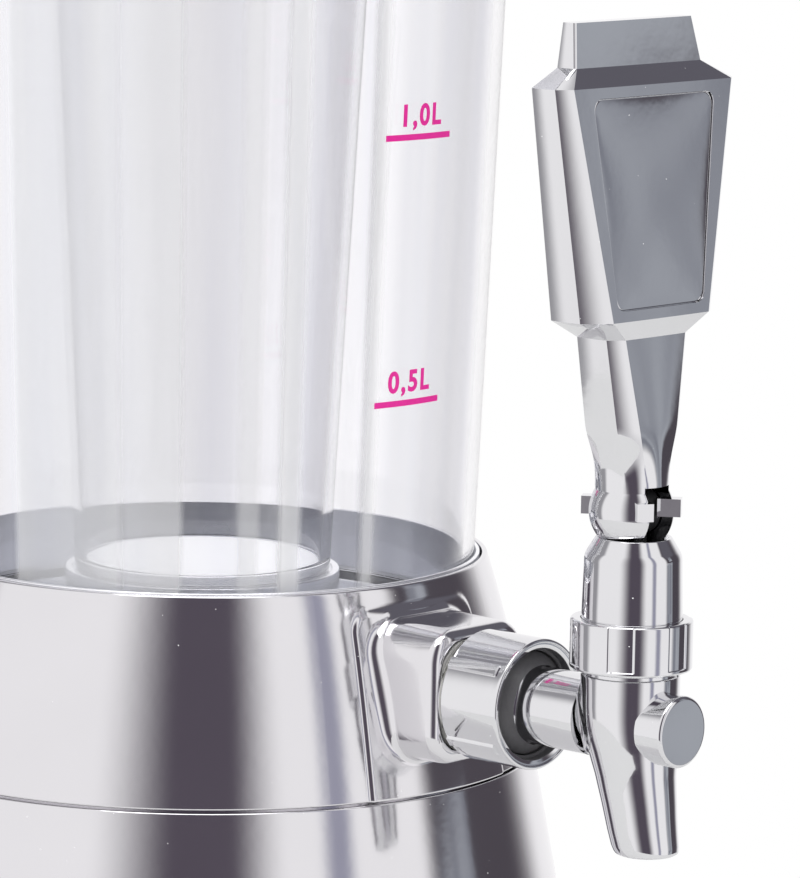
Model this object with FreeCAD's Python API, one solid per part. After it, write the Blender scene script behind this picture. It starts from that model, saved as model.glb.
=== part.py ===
import FreeCAD, Part
import os
from math import atan2, cos, pi, radians, sin, sqrt, tan

# Beer tower dispenser. Millimetres. The origin is where the tower's axis meets the table,
# +Z is up and the tap points along -Y. "Reach" is a distance from the tower's axis towards the tap.

# Clearances
press_clearance = 0.05
thread_clearance = 0.10
seat_clearance = 0.30
running_clearance = 0.06

# Base
foot_radius = 104.0
foot_band = 8.0
flare_height = 15.0
flare_inset = 8.0
seam_radius = 68.3
seam_height = 170.0
seam_gap = 0.5
shell_wall = 2.6
deck_wall = 3.0
floor_clearance = 2.4
plate_thickness = 4.0
foot_ring_thickness = 3.2
foot_ring_width = 10.0
foot_ring_margin = 3.4
ballast_radius = 66.0
ballast_bore = 15.0
ballast_height = 12.0

# Screws
screw_radius = 1.9
screw_head_radius = 3.6
screw_head_height = 2.3
screw_post_radius = 5.0
screw_count = 4
screw_turn = 45.0
plate_screw_margin = 2.1
plate_post_height = 26.0
plate_post_rib = 2.5
plate_screw_length = 14.0
ballast_screw_circle = 45.0
ballast_screw_length = 9.0
housing_screw_circle = 61.0
bowl_screw_circle = 42.0
screw_bite = 5.0

# Collar that houses the tap
collar_height = 40.0
lip_width = 1.0
lip_round = 0.5
lip_groove = 0.5
shoulder_drop = 13.8
shoulder_swell = 4.1
collar_wall = 2.5
foot_flange_thickness = 3.5
foot_flange_width = 7.5
panel_half_angle = 16.5
panel_rise = 0.5
panel_top_drop = 4.5
boss_size = 26.4
boss_root_size = 31.0
boss_corner = 5.0
boss_edge_round = 1.4

# Reservoir bowl
bowl_lip_rise = 0.3
bowl_lip_wall = 0.8
bowl_wall = 5.0
bowl_floor_wall = 2.5
bowl_floor_drop = 26.0
socket_depth = 14.0
tube_seal_thickness = 1.5
pedestal_drop = 4.4
pedestal_wall = 2.0
pedestal_rim = 1.6
pedestal_rim_height = 2.0
port_radius = 10.5
port_reach = 62.0
port_floor = 1.0

# Clear tubes
tube_rim_radius = 55.4
tube_taper = 0.0381
tube_wall = 2.2
tube_top_height = 510.0
ice_rim_radius = 26.2
ice_taper = 0.0505
ice_wall = 2.0
ice_floor_wall = 2.3
ice_flange_width = 4.0
ice_flange_thickness = 2.5

# Lid and ice tube cap
lid_thickness = 4.0
lid_skirt_wall = 1.8
lid_skirt_depth = 11.0
lid_ring_wall = 1.8
lid_ring_depth = 6.0
lid_edge_round = 1.5
cap_thickness = 3.0
cap_overhang = 1.0
cap_plug_depth = 7.0
cap_plug_wall = 2.0
knob_radius = 11.0
knob_height = 15.0
knob_waist = 8.0
knob_round = 3.0

# Outlet and coupling nut
shank_drop = 19.4
outlet_bore = 4.2
nipple_root_radius = 8.0
nipple_radius = 11.35
outlet_seal_thickness = 2.0
shank_gasket_thickness = 1.3
shank_flange_radius = 11.0
shank_flange_thickness = 2.2
shank_root_radius = 10.0
shank_root_length = 2.0
shank_flare_length = 5.0
shank_radius = 7.6
nut_radius = 12.8
nut_gap = 1.0
nut_grip = 7.0
nut_web = 2.4
nut_cup_radius = 10.9
nut_cup_depth = 2.4
nut_groove_depth = 0.45
nut_groove_count = 4
nut_groove_angle = 26.0
nut_groove_turn = 52.0

# Tap body, with its levels counted from the collar's rim
tap_reach = 113.9
shank_length = 30.9
body_radius = 9.5
body_top_drop = 9.8
body_bend_drop = 18.5
neck_groove_radius = 8.9
neck_groove_height = 1.4
neck_radius = 10.1
neck_top_drop = 3.6
chamber_radius = 6.3
seat_drop = 24.5
seat_bore = 3.8
spout_tip_drop = 44.0
spout_tip_radius = 6.3
spout_tip_offset = 4.9
spout_wall = 1.9
spout_edge_round = 0.7
plug_radius = 6.9
plug_face = 13.2
plug_edge_round = 0.8

# Ring and bonnet on top of the tap body
ring_radius = 11.7
ring_bottom_drop = 8.7
ring_lip = 1.8
ring_chamfer = 0.5
ring_grip_count = 6
ring_grip_angle = 22.0
ring_grip_depth = 0.3
guide_flange = 1.2
guide_length = 11.0
gland_radius = 4.5
gland_height = 2.1
gland_depth = 6.0
bonnet_flange = 1.5
bonnet_radius = 9.65
bonnet_top_radius = 9.25
bonnet_rim_radius = 7.6
bonnet_rim_rise = 16.5
bonnet_chamfer_drop = 3.3
bonnet_chamber_radius = 7.4
bonnet_roof = 2.6

# Valve stem and return spring
stem_radius = 2.4
valve_seal_radius = 5.5
valve_seal_height = 4.0
washer_radius = 5.9
washer_thickness = 1.0
washer_rise = 0.8
spring_wire = 0.5
spring_radius = 5.0
spring_turns = 5
eye_radius = 4.6
pin_radius = 1.5

# Lever
ball_radius = 7.9
ball_rise = 21.4
ball_clearance = 0.32
pivot_setback = 0.7
slot_width = 7.0
slot_back = 5.0
slot_roof = 5.2
eye_side_clearance = 0.4
lug_angle = 30.0
lug_reach = 10.6
lug_width = 3.4
lug_height = 3.7
lug_rise = 1.05
neck_foot_rise = 26.0
neck_foot_width = 13.6
neck_foot_corner = 4.0
neck_head_rise = 55.0
neck_head_width = 23.4
neck_head_thickness = 11.6
neck_head_corner = 3.0
neck_head_setback = 1.6
paddle_foot_rise = 58.7
paddle_foot_width = 38.2
paddle_foot_thickness = 14.7
paddle_foot_corner = 5.15
paddle_foot_setback = 1.8
paddle_head_rise = 102.3
paddle_head_width = 51.7
paddle_head_thickness = 9.9
paddle_head_corner = 2.9
paddle_head_setback = 2.6
crest_foot_rise = 105.7
crest_foot_width = 37.0
crest_foot_thickness = 4.7
crest_foot_setback = 3.65
crest_head_rise = 114.0
crest_head_width = 34.3
crest_head_thickness = 3.2
crest_head_setback = 4.35
crest_corner = 0.5
plate_margin = 2.0
plate_side_margin_head = 4.8
plate_side_margin_foot = 1.8
plate_corner = 2.2
plate_depth = 1.0
plate_inset = 0.3
window_width = 7.0
window_height = 4.2
window_depth = 0.8

# Heights and radii that follow from the sizes above
rim_z = seam_height + collar_height
shank_z = rim_z - shank_drop
plate_z = floor_clearance
plate_top_z = plate_z + plate_thickness
shell_foot_z = floor_clearance - 0.6
bowl_floor_z = rim_z - bowl_floor_drop
bowl_bottom_z = bowl_floor_z - bowl_floor_wall
ledge_z = rim_z - socket_depth
tube_foot_z = ledge_z + tube_seal_thickness
pedestal_z = rim_z - pedestal_drop
lid_top_z = tube_top_height + lid_thickness
ice_top_z = lid_top_z + ice_flange_thickness
ball_z = rim_z + ball_rise
pivot_reach = tap_reach - pivot_setback
bonnet_roof_z = ball_z - ball_radius - ball_clearance - bonnet_roof
washer_top_z = rim_z - neck_top_drop + guide_flange + washer_rise + washer_thickness
nipple_end_reach = tap_reach - shank_length
boss_reach = nipple_end_reach - nut_grip
nut_rear_reach = boss_reach + nut_gap
shank_flange_reach = nipple_end_reach + shank_gasket_thickness
shank_root_reach = shank_flange_reach + shank_flange_thickness
nut_front_reach = shank_root_reach + nut_web + nut_cup_depth


def tube_radius(z):
    """Outer radius of the reservoir tube at a height."""
    return tube_rim_radius + tube_taper * (z - rim_z)


def ice_radius(z):
    """Outer radius of the ice tube at a height."""
    return ice_rim_radius + ice_taper * (z - rim_z)


socket_radius = tube_radius(rim_z + bowl_lip_rise) + seat_clearance
bowl_radius = socket_radius + bowl_lip_wall
bowl_inner_radius = bowl_radius - bowl_wall
nipple_root_reach = bowl_radius + port_floor
collar_inner_radius = bowl_radius + lip_groove
lip_radius = collar_inner_radius + lip_width
pedestal_inner_radius = ice_radius(pedestal_z + pedestal_rim_height) + seat_clearance
pedestal_radius = pedestal_inner_radius + pedestal_rim
plate_radius = foot_radius - shell_wall - seat_clearance
ring_outer_foot = plate_radius - foot_ring_margin
ring_inner_foot = ring_outer_foot - foot_ring_width
plate_screw_circle = ring_inner_foot - screw_head_radius - plate_screw_margin


# Plain shapes

def vec(x, y, z):
    return FreeCAD.Vector(x, y, z)


def cylinder(radius, z0, z1):
    return Part.makeCylinder(radius, z1 - z0, vec(0, 0, z0))


def ring(outer, inner, z0, z1):
    return cylinder(outer, z0, z1).cut(cylinder(inner, z0 - 1, z1 + 1))


def box(x0, x1, y0, y1, z0, z1):
    return Part.makeBox(x1 - x0, y1 - y0, z1 - z0, vec(x0, y0, z0))


def spin(edges):
    """Solid of revolution about Z from a closed outline of edges in the XZ plane."""
    return Part.Face(Part.Wire(edges)).revolve(vec(0, 0, 0), vec(0, 0, 1), 360)


def outline(points):
    """Straight edges that join (radius, height) points into a closed outline."""
    corners = [vec(r, 0, z) for r, z in points]
    return [Part.makeLine(a, b) for a, b in zip(corners, corners[1:] + corners[:1])]


def turned(points):
    return spin(outline(points))


def curve(points):
    """One smooth edge through (radius, height) points."""
    spline = Part.BSplineCurve()
    spline.interpolate([vec(r, 0, z) for r, z in points])
    return spline.toShape()


def line(a, b):
    return Part.makeLine(vec(a[0], 0, a[1]), vec(b[0], 0, b[1]))


def around(shape, radius, count, start=screw_turn):
    """Copies of a shape evenly spaced on a circle about the tower's axis."""
    copies = []
    for k in range(count):
        angle = radians(start + 360.0 * k / count)
        copy = shape.copy()
        copy.translate(vec(radius * cos(angle), radius * sin(angle), 0))
        copies.append(copy)
    return copies


def on_shank(shape):
    """Turns a shape built along Z so that its Z becomes reach along the shank's axis."""
    turned_shape = shape.copy()
    turned_shape.rotate(vec(0, 0, 0), vec(1, 0, 0), 90)
    turned_shape.translate(vec(0, 0, shank_z))
    return turned_shape


def at_tap(shape):
    """Moves a shape from the tower's axis to the tap's axis."""
    moved = shape.copy()
    moved.translate(vec(0, -tap_reach, 0))
    return moved


def rounded_square(size, corner, reach):
    """Wire of a square with round corners, square to the shank's axis."""
    h = size / 2
    k = h - corner
    edges = []
    for q in range(4):
        a = pi / 2 * q
        mid = a + pi / 4
        side = [(h, -k), (h, k)]
        turn = [(cos(a) * x - sin(a) * y, sin(a) * x + cos(a) * y) for x, y in side]
        centre = (cos(a) * k - sin(a) * k, sin(a) * k + cos(a) * k)
        bend = (centre[0] + corner * cos(mid), centre[1] + corner * sin(mid))
        end = (centre[0] - corner * sin(a), centre[1] + corner * cos(a))
        p = [vec(x, -reach, y + shank_z) for x, y in (turn[0], turn[1], bend, end)]
        edges.append(Part.makeLine(p[0], p[1]))
        edges.append(Part.Arc(p[1], p[2], p[3]).toShape())
    return Part.Wire(edges)


def screw(z0, length):
    """Pan head screw standing on its head, with a cross recess, from z0 upwards."""
    head = cylinder(screw_head_radius, z0, z0 + screw_head_height)
    shank = cylinder(screw_radius, z0 + screw_head_height, z0 + screw_head_height + length)
    body = head.fuse(shank)
    arm = screw_head_radius * 0.6
    for x, y in ((arm, 0.4), (0.4, arm)):
        body = body.cut(box(-x, x, -y, y, z0 - 1, z0 + screw_head_height * 0.45))
    return body.removeSplitter()


# Base

def base_outline():
    """Outer edges of the base shell from its foot to the seam."""
    top = seam_height - seam_gap
    band_z = shell_foot_z + foot_band
    flare = (foot_radius - flare_inset, band_z + flare_height)
    middle = (foot_radius - flare_inset * 0.66, band_z + flare_height * 0.42)
    return band_z, flare, middle, (seam_radius, top)


def base_solid(inset, z0, top_z):
    """The base's full outer form, drawn in by a wall's thickness."""
    band_z, flare, middle, top = base_outline()
    bend = Part.Arc(
        vec(foot_radius - inset, 0, band_z),
        vec(middle[0] - inset, 0, middle[1]),
        vec(flare[0] - inset, 0, flare[1]),
    ).toShape()
    edges = [
        line((0, z0), (foot_radius - inset, z0)),
        line((foot_radius - inset, z0), (foot_radius - inset, band_z)),
        bend,
        line((flare[0] - inset, flare[1]), (top[0] - inset, top[1])),
    ]
    if top_z > top[1]:
        edges.append(line((top[0] - inset, top[1]), (top[0] - inset, top_z)))
    edges.append(line((top[0] - inset, top_z), (0, top_z)))
    edges.append(line((0, top_z), (0, z0)))
    return spin(edges)


def base_shell():
    top = seam_height - seam_gap
    outer = base_solid(0, shell_foot_z, top)
    hollow = base_solid(shell_wall, shell_foot_z - 5, top)
    hollow = hollow.common(cylinder(foot_radius, shell_foot_z - 6, seam_height - deck_wall))
    shell = outer.cut(hollow)
    deck_radius = seam_radius - shell_wall - 0.5
    shell = shell.fuse(cylinder(deck_radius, seam_height - deck_wall, seam_height))
    post_top = plate_top_z + plate_post_height
    for k in range(screw_count):
        post = cylinder(screw_post_radius, plate_top_z, post_top)
        post.translate(vec(plate_screw_circle, 0, 0))
        half_rib = plate_post_rib / 2
        rib = box(plate_screw_circle, foot_radius, -half_rib, half_rib, plate_top_z, post_top)
        post = post.fuse(rib)
        post.rotate(vec(0, 0, 0), vec(0, 0, 1), screw_turn + 360.0 * k / screw_count)
        shell = shell.fuse(post.common(outer))
    bowl_post = cylinder(screw_post_radius, seam_height, bowl_bottom_z - screw_bite - 1.5)
    for post in around(bowl_post, bowl_screw_circle, screw_count):
        shell = shell.fuse(post)
    bite = cylinder(screw_radius + press_clearance, plate_top_z - 1, plate_top_z + plate_screw_length)
    for hole in around(bite, plate_screw_circle, screw_count):
        shell = shell.cut(hole)
    pass_hole = cylinder(screw_radius + seat_clearance, seam_height - deck_wall - 1, bowl_bottom_z)
    for hole in around(pass_hole, bowl_screw_circle, screw_count):
        shell = shell.cut(hole)
    short_hole = cylinder(screw_radius + seat_clearance, seam_height - deck_wall - 1, seam_height + 1)
    for hole in around(short_hole, housing_screw_circle, screw_count, 0.0):
        shell = shell.cut(hole)
    return shell.removeSplitter()


def base_plate():
    plate = cylinder(plate_radius, plate_z, plate_top_z)
    groove_top = foot_ring_thickness + press_clearance
    groove_out = ring_outer_foot + press_clearance
    groove_in = ring_inner_foot - press_clearance
    plate = plate.cut(ring(groove_out, groove_in, plate_z - 1, groove_top))
    hole = cylinder(screw_radius + seat_clearance, plate_z - 1, plate_top_z + 1)
    sink = cylinder(screw_head_radius + seat_clearance, plate_z - 1, plate_z + screw_head_height)
    pocket = hole.fuse(sink)
    for circle, start in ((plate_screw_circle, screw_turn), (ballast_screw_circle, 0.0)):
        for place in around(pocket, circle, screw_count, start):
            plate = plate.cut(place)
    return plate.removeSplitter()


def foot_ring():
    return ring(ring_outer_foot, ring_inner_foot, 0, foot_ring_thickness)


def plate_screws():
    one = screw(plate_z, plate_screw_length)
    return Part.makeCompound(around(one, plate_screw_circle, screw_count))


def ballast_weight():
    weight = ring(ballast_radius, ballast_bore, plate_top_z, plate_top_z + ballast_height)
    bite = cylinder(screw_radius + press_clearance, plate_top_z - 1, plate_top_z + ballast_screw_length)
    for hole in around(bite, ballast_screw_circle, screw_count, 0.0):
        weight = weight.cut(hole)
    return weight


def ballast_screws():
    one = screw(plate_z, ballast_screw_length)
    return Part.makeCompound(around(one, ballast_screw_circle, screw_count, 0.0))


# Collar

def collar_outline(swell):
    """Outer edge of the collar from its lip to the seam, as one smooth curve."""
    shoulder_radius = lip_radius + shoulder_swell
    return curve([
        (lip_radius + swell, rim_z),
        (shoulder_radius + swell, rim_z - shoulder_drop),
        ((shoulder_radius + seam_radius) / 2 + 0.2 + swell, (rim_z - shoulder_drop + seam_height) / 2),
        (seam_radius + swell, seam_height),
    ])


def collar_solid(swell):
    return spin([
        line((0, rim_z), (lip_radius + swell, rim_z)),
        collar_outline(swell),
        line((seam_radius + swell, seam_height), (0, seam_height)),
        line((0, seam_height), (0, rim_z)),
    ])


def tap_panel():
    """Shallow raised field round the boss, from the seam to just under the rim."""
    field = collar_solid(panel_rise)
    wedge_reach = seam_radius * 1.5
    side = wedge_reach * tan(radians(panel_half_angle))
    points = [vec(0, 0, 0), vec(side, -wedge_reach, 0), vec(-side, -wedge_reach, 0), vec(0, 0, 0)]
    wedge = Part.Face(Part.makePolygon(points)).extrude(vec(0, 0, collar_height - panel_top_drop))
    wedge.translate(vec(0, 0, seam_height))
    return field.common(wedge)


def boss():
    """Square boss with round corners that narrows from the collar to its face."""
    root = rounded_square(boss_root_size, boss_corner + 1.5, lip_radius - 2)
    face = rounded_square(boss_size, boss_corner, boss_reach)
    form = Part.makeLoft([root, face], True, True)
    rim = [e for e in form.Edges if abs(e.BoundBox.YMin + boss_reach) < 0.01 and e.BoundBox.YLength < 0.01]
    return form.makeFillet(boss_edge_round, rim)


def tap_housing():
    shell = collar_solid(0).fuse(tap_panel())
    hollow = spin([
        line((0, rim_z + 1), (collar_inner_radius, rim_z + 1)),
        line((collar_inner_radius, rim_z + 1), (collar_inner_radius, rim_z - shoulder_drop)),
        line(
            (collar_inner_radius, rim_z - shoulder_drop),
            (seam_radius - collar_wall, seam_height + foot_flange_thickness),
        ),
        line(
            (seam_radius - collar_wall, seam_height + foot_flange_thickness),
            (seam_radius - collar_wall - foot_flange_width, seam_height + foot_flange_thickness),
        ),
        line(
            (seam_radius - collar_wall - foot_flange_width, seam_height + foot_flange_thickness),
            (seam_radius - collar_wall - foot_flange_width, seam_height - 1),
        ),
        line((seam_radius - collar_wall - foot_flange_width, seam_height - 1), (0, seam_height - 1)),
        line((0, seam_height - 1), (0, rim_z + 1)),
    ])
    lip = [e for e in shell.Edges if abs(e.BoundBox.ZMin - rim_z) < 0.01 and e.BoundBox.ZLength < 0.01]
    shell = shell.makeFillet(lip_round, lip)
    shell = shell.fuse(boss()).cut(hollow)
    shell = shell.cut(on_shank(cylinder(nipple_radius + seat_clearance, bowl_inner_radius, boss_reach + 1)))
    bite = cylinder(screw_radius + press_clearance, seam_height - 1, seam_height + screw_bite)
    seat = cylinder(screw_radius + 1.2, seam_height, seam_height + screw_bite + 1)
    for post in around(seat, housing_screw_circle, screw_count, 0.0):
        shell = shell.fuse(post)
    for hole in around(bite, housing_screw_circle, screw_count, 0.0):
        shell = shell.cut(hole)
    return shell.removeSplitter()


def housing_screws():
    head_z = seam_height - deck_wall - screw_head_height
    one = screw(head_z, deck_wall + screw_bite - 0.5)
    return Part.makeCompound(around(one, housing_screw_circle, screw_count, 0.0))


# Reservoir

def reservoir_bowl():
    lip_z = rim_z + bowl_lip_rise
    bowl = turned([
        (bowl_radius, bowl_bottom_z),
        (bowl_radius, lip_z),
        (socket_radius, lip_z),
        (socket_radius, ledge_z),
        (bowl_inner_radius, ledge_z),
        (bowl_inner_radius, bowl_floor_z),
        (pedestal_radius, bowl_floor_z),
        (pedestal_radius, pedestal_z + pedestal_rim_height),
        (pedestal_inner_radius, pedestal_z + pedestal_rim_height),
        (pedestal_inner_radius, pedestal_z),
        (0, pedestal_z),
        (0, pedestal_z - pedestal_wall),
        (pedestal_radius - pedestal_wall, pedestal_z - pedestal_wall),
        (pedestal_radius - pedestal_wall, bowl_bottom_z),
    ])
    port = on_shank(cylinder(port_radius, bowl_inner_radius + bowl_wall / 2, port_reach))
    bowl = bowl.fuse(port).cut(cylinder(socket_radius, ledge_z, lip_z))
    thread_radius = nipple_root_radius + thread_clearance
    thread = cylinder(thread_radius, nipple_root_reach - press_clearance, port_reach + 1)
    passage = cylinder(outlet_bore, bowl_inner_radius - 3, port_reach + 1)
    bowl = bowl.cut(on_shank(thread)).cut(on_shank(passage))
    post_foot = bowl_bottom_z - screw_bite - 1.5
    post = cylinder(screw_post_radius, post_foot, bowl_bottom_z)
    bite = cylinder(screw_radius + press_clearance, post_foot - 1, bowl_bottom_z - 0.5)
    for place in around(post, bowl_screw_circle, screw_count):
        bowl = bowl.fuse(place)
    for hole in around(bite, bowl_screw_circle, screw_count):
        bowl = bowl.cut(hole)
    return bowl.removeSplitter()


def bowl_screws():
    head_z = seam_height - deck_wall - screw_head_height
    length = bowl_bottom_z - 1.0 - (seam_height - deck_wall)
    return Part.makeCompound(around(screw(head_z, length), bowl_screw_circle, screw_count))


def tube_seal():
    return ring(tube_radius(tube_foot_z) - 0.1, bowl_inner_radius + 0.3, ledge_z, tube_foot_z)


def reservoir_tube():
    foot = tube_radius(tube_foot_z)
    top = tube_radius(tube_top_height)
    return turned([
        (foot, tube_foot_z),
        (top, tube_top_height),
        (top - tube_wall, tube_top_height),
        (foot - tube_wall, tube_foot_z),
    ])


def ice_tube():
    foot = ice_radius(pedestal_z)
    floor_z = pedestal_z + ice_floor_wall
    neck = ice_radius(lid_top_z)
    top = ice_radius(ice_top_z)
    return turned([
        (0, pedestal_z),
        (foot, pedestal_z),
        (neck, lid_top_z),
        (neck + ice_flange_width, lid_top_z),
        (neck + ice_flange_width, ice_top_z),
        (top - ice_wall, ice_top_z),
        (ice_radius(floor_z) - ice_wall, floor_z),
        (0, floor_z),
    ])


def tower_lid():
    tube_edge = tube_radius(tube_top_height)
    skirt_in = tube_edge + seat_clearance
    skirt_out = skirt_in + lid_skirt_wall
    ring_out = tube_radius(tube_top_height - lid_ring_depth) - tube_wall - seat_clearance
    ring_in = ring_out - lid_ring_wall
    hole = ice_radius(lid_top_z) + seat_clearance
    lid = turned([
        (hole, tube_top_height),
        (hole, lid_top_z),
        (skirt_out, lid_top_z),
        (skirt_out, tube_top_height - lid_skirt_depth),
        (skirt_in, tube_top_height - lid_skirt_depth),
        (skirt_in, tube_top_height),
        (ring_out, tube_top_height),
        (ring_out, tube_top_height - lid_ring_depth),
        (ring_in, tube_top_height - lid_ring_depth),
        (ring_in, tube_top_height),
    ])
    top_edges = [e for e in lid.Edges if e.BoundBox.ZMin > lid_top_z - 0.01]
    edge = [e for e in top_edges if abs(e.BoundBox.XMax - skirt_out) < 0.01]
    return lid.makeFillet(lid_edge_round, edge)


def ice_tube_cap():
    disc_radius = ice_radius(lid_top_z) + ice_flange_width + cap_overhang
    disc_top = ice_top_z + cap_thickness
    plug_z = ice_top_z - cap_plug_depth
    plug_radius_here = ice_radius(plug_z) - ice_wall - seat_clearance
    knob_top = disc_top + knob_height
    knob = spin([
        line((0, disc_top - 0.5), (knob_waist, disc_top - 0.5)),
        Part.Arc(
            vec(knob_waist, 0, disc_top - 0.5),
            vec(knob_waist * 0.93, 0, disc_top + knob_height * 0.4),
            vec(knob_radius, 0, knob_top - knob_round - 1.0),
        ).toShape(),
        line((knob_radius, knob_top - knob_round - 1.0), (knob_radius, knob_top - knob_round)),
        Part.Arc(
            vec(knob_radius, 0, knob_top - knob_round),
            vec(knob_radius - knob_round * (1 - cos(pi / 4)), 0, knob_top - knob_round * (1 - sin(pi / 4))),
            vec(knob_radius - knob_round, 0, knob_top),
        ).toShape(),
        line((knob_radius - knob_round, knob_top), (0, knob_top)),
        line((0, knob_top), (0, disc_top - 0.5)),
    ])
    disc = cylinder(disc_radius, ice_top_z, disc_top)
    rim = [e for e in disc.Edges if e.BoundBox.ZMin > disc_top - 0.01 and e.BoundBox.ZLength < 0.01]
    disc = disc.makeFillet(cap_thickness * 0.4, rim)
    plug = ring(plug_radius_here, plug_radius_here - cap_plug_wall, plug_z, ice_top_z)
    return disc.fuse([plug, knob]).removeSplitter()


# Outlet

def outlet_nipple():
    shoulder = port_reach + outlet_seal_thickness
    nipple = turned([
        (outlet_bore, nipple_root_reach),
        (nipple_root_radius, nipple_root_reach),
        (nipple_root_radius, shoulder),
        (nipple_radius, shoulder),
        (nipple_radius, nipple_end_reach),
        (outlet_bore, nipple_end_reach),
    ])
    return on_shank(nipple)


def outlet_seal():
    hole = nipple_root_radius + thread_clearance
    return on_shank(ring(port_radius, hole, port_reach, port_reach + outlet_seal_thickness))


def shank_gasket():
    return on_shank(ring(shank_flange_radius, outlet_bore + 0.8, nipple_end_reach, shank_flange_reach))


def coupling_nut():
    bore = nipple_radius + thread_clearance
    web_reach = shank_root_reach
    nut = turned([
        (bore, nut_rear_reach),
        (nut_radius, nut_rear_reach),
        (nut_radius, nut_front_reach),
        (nut_cup_radius, nut_front_reach),
        (nut_cup_radius, web_reach + nut_web),
        (shank_root_radius + seat_clearance, web_reach + nut_web),
        (shank_root_radius + seat_clearance, web_reach),
        (bore, web_reach),
    ])
    half = nut_radius * tan(radians(nut_groove_angle / 2))
    for k in range(nut_groove_count):
        floor = nut_radius - nut_groove_depth
        groove = box(floor, nut_radius + 1, -half, half, nut_rear_reach - 1, nut_front_reach - 2.0)
        groove.rotate(vec(0, 0, 0), vec(0, 0, 1), nut_groove_turn + 360.0 * k / nut_groove_count)
        nut = nut.cut(groove)
    return on_shank(nut)


# Tap body

def spout_section(z, radius, offset):
    """Circle of the spout, with its centre set outwards from the tap's axis."""
    return Part.Wire(Part.makeCircle(radius, vec(0, -tap_reach - offset, z), vec(0, 0, 1)))


def spout_form(tip_radius, bend_radius, heights):
    """Spout that narrows and leans outwards below the bend, through sections at these heights."""
    bend_z = rim_z - body_bend_drop
    tip_z = rim_z - spout_tip_drop
    sections = []
    for z in heights:
        share = max(0.0, (bend_z - z) / (bend_z - tip_z))
        radius = bend_radius + (tip_radius - bend_radius) * share
        sections.append(spout_section(z, radius, spout_tip_offset * share))
    return Part.makeLoft(sections, True, False)


def body_form():
    """Outside of the tap body without its shank: barrel, threaded neck and spout."""
    top_z = rim_z - body_top_drop
    barrel_foot = rim_z - body_bend_drop + 1.5
    groove_top = top_z + neck_groove_height
    barrel = turned([
        (0, barrel_foot),
        (body_radius, barrel_foot),
        (body_radius, top_z - 0.4),
        (body_radius - 0.4, top_z),
        (neck_groove_radius, top_z),
        (neck_groove_radius, groove_top),
        (neck_radius, groove_top),
        (neck_radius, rim_z - neck_top_drop),
        (0, rim_z - neck_top_drop),
    ])
    tip_z = rim_z - spout_tip_drop
    fall = barrel_foot - tip_z
    heights = [barrel_foot, barrel_foot - fall * 0.2, barrel_foot - fall * 0.57, tip_z]
    spout = spout_form(spout_tip_radius, body_radius, heights)
    rim = [e for e in spout.Edges if abs(e.BoundBox.ZMax - tip_z) < 0.05 and e.BoundBox.ZLength < 0.05]
    spout = spout.makeFillet(spout_edge_round, rim)
    return at_tap(barrel).fuse(spout)


def shank_form():
    """Outside of the shank: flange, flared root and pipe up to the barrel."""
    flare_end = shank_root_reach + shank_root_length + shank_flare_length
    flare_start = shank_root_reach + shank_root_length
    flare_rise = shank_root_radius - shank_radius
    bend = Part.Arc(
        vec(shank_root_radius, 0, flare_start),
        vec(shank_radius + flare_rise * 0.3, 0, flare_start + shank_flare_length * 0.42),
        vec(shank_radius, 0, flare_end),
    ).toShape()
    return on_shank(spin([
        line((0, shank_flange_reach), (shank_flange_radius, shank_flange_reach)),
        line((shank_flange_radius, shank_flange_reach), (shank_flange_radius, shank_root_reach)),
        line((shank_flange_radius, shank_root_reach), (shank_root_radius, shank_root_reach)),
        line((shank_root_radius, shank_root_reach), (shank_root_radius, flare_start)),
        bend,
        line((shank_radius, flare_end), (shank_radius, tap_reach - 1)),
        line((shank_radius, tap_reach - 1), (0, tap_reach - 1)),
        line((0, tap_reach - 1), (0, shank_flange_reach)),
    ]))


def tap_body():
    body = body_form().fuse(shank_form())
    seat_z = rim_z - seat_drop
    channel_top = seat_z - 1.5
    chamber = at_tap(cylinder(chamber_radius, seat_z, rim_z))
    body = body.cut(chamber)
    body = body.cut(at_tap(cylinder(seat_bore, channel_top - 2.5, seat_z + 1)))
    channel_heights = [channel_top, rim_z - spout_tip_drop - 1.0]
    body = body.cut(spout_form(spout_tip_radius - spout_wall, seat_bore, channel_heights))
    body = body.cut(on_shank(cylinder(outlet_bore, shank_flange_reach - 1, tap_reach + body_radius + 2)))
    return body.removeSplitter()


def front_plug():
    face = tap_reach + plug_face
    head = cylinder(plug_radius, tap_reach + chamber_radius, face)
    rim = [e for e in head.Edges if e.BoundBox.ZMin > face - 0.01 and e.BoundBox.ZLength < 0.01]
    head = on_shank(head.makeFillet(plug_edge_round, rim)).cut(body_form())
    stem_start = tap_reach + chamber_radius + 0.6
    stem = on_shank(cylinder(outlet_bore - press_clearance, stem_start, face - 2))
    return head.fuse(stem).removeSplitter()


# Ring and bonnet

def bonnet_ring():
    bottom_z = rim_z - ring_bottom_drop
    lip_z = rim_z - neck_top_drop + guide_flange + bonnet_flange
    top_z = lip_z + ring_lip
    bore = neck_radius + thread_clearance
    ring_body = turned([
        (bore, bottom_z),
        (ring_radius - ring_chamfer, bottom_z),
        (ring_radius, bottom_z + ring_chamfer),
        (ring_radius, top_z - ring_chamfer),
        (ring_radius - ring_chamfer, top_z),
        (bonnet_radius + thread_clearance, top_z),
        (bonnet_radius + thread_clearance, lip_z),
        (bore, lip_z),
    ])
    half = ring_radius * tan(radians(ring_grip_angle / 2))
    for k in range(ring_grip_count):
        flat = box(ring_radius - ring_grip_depth, ring_radius + 1, -half, half, bottom_z + 1.0, top_z + 1)
        flat.rotate(vec(0, 0, 0), vec(0, 0, 1), 360.0 * (k + 0.5) / ring_grip_count)
        ring_body = ring_body.cut(flat)
    return at_tap(ring_body)


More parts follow.
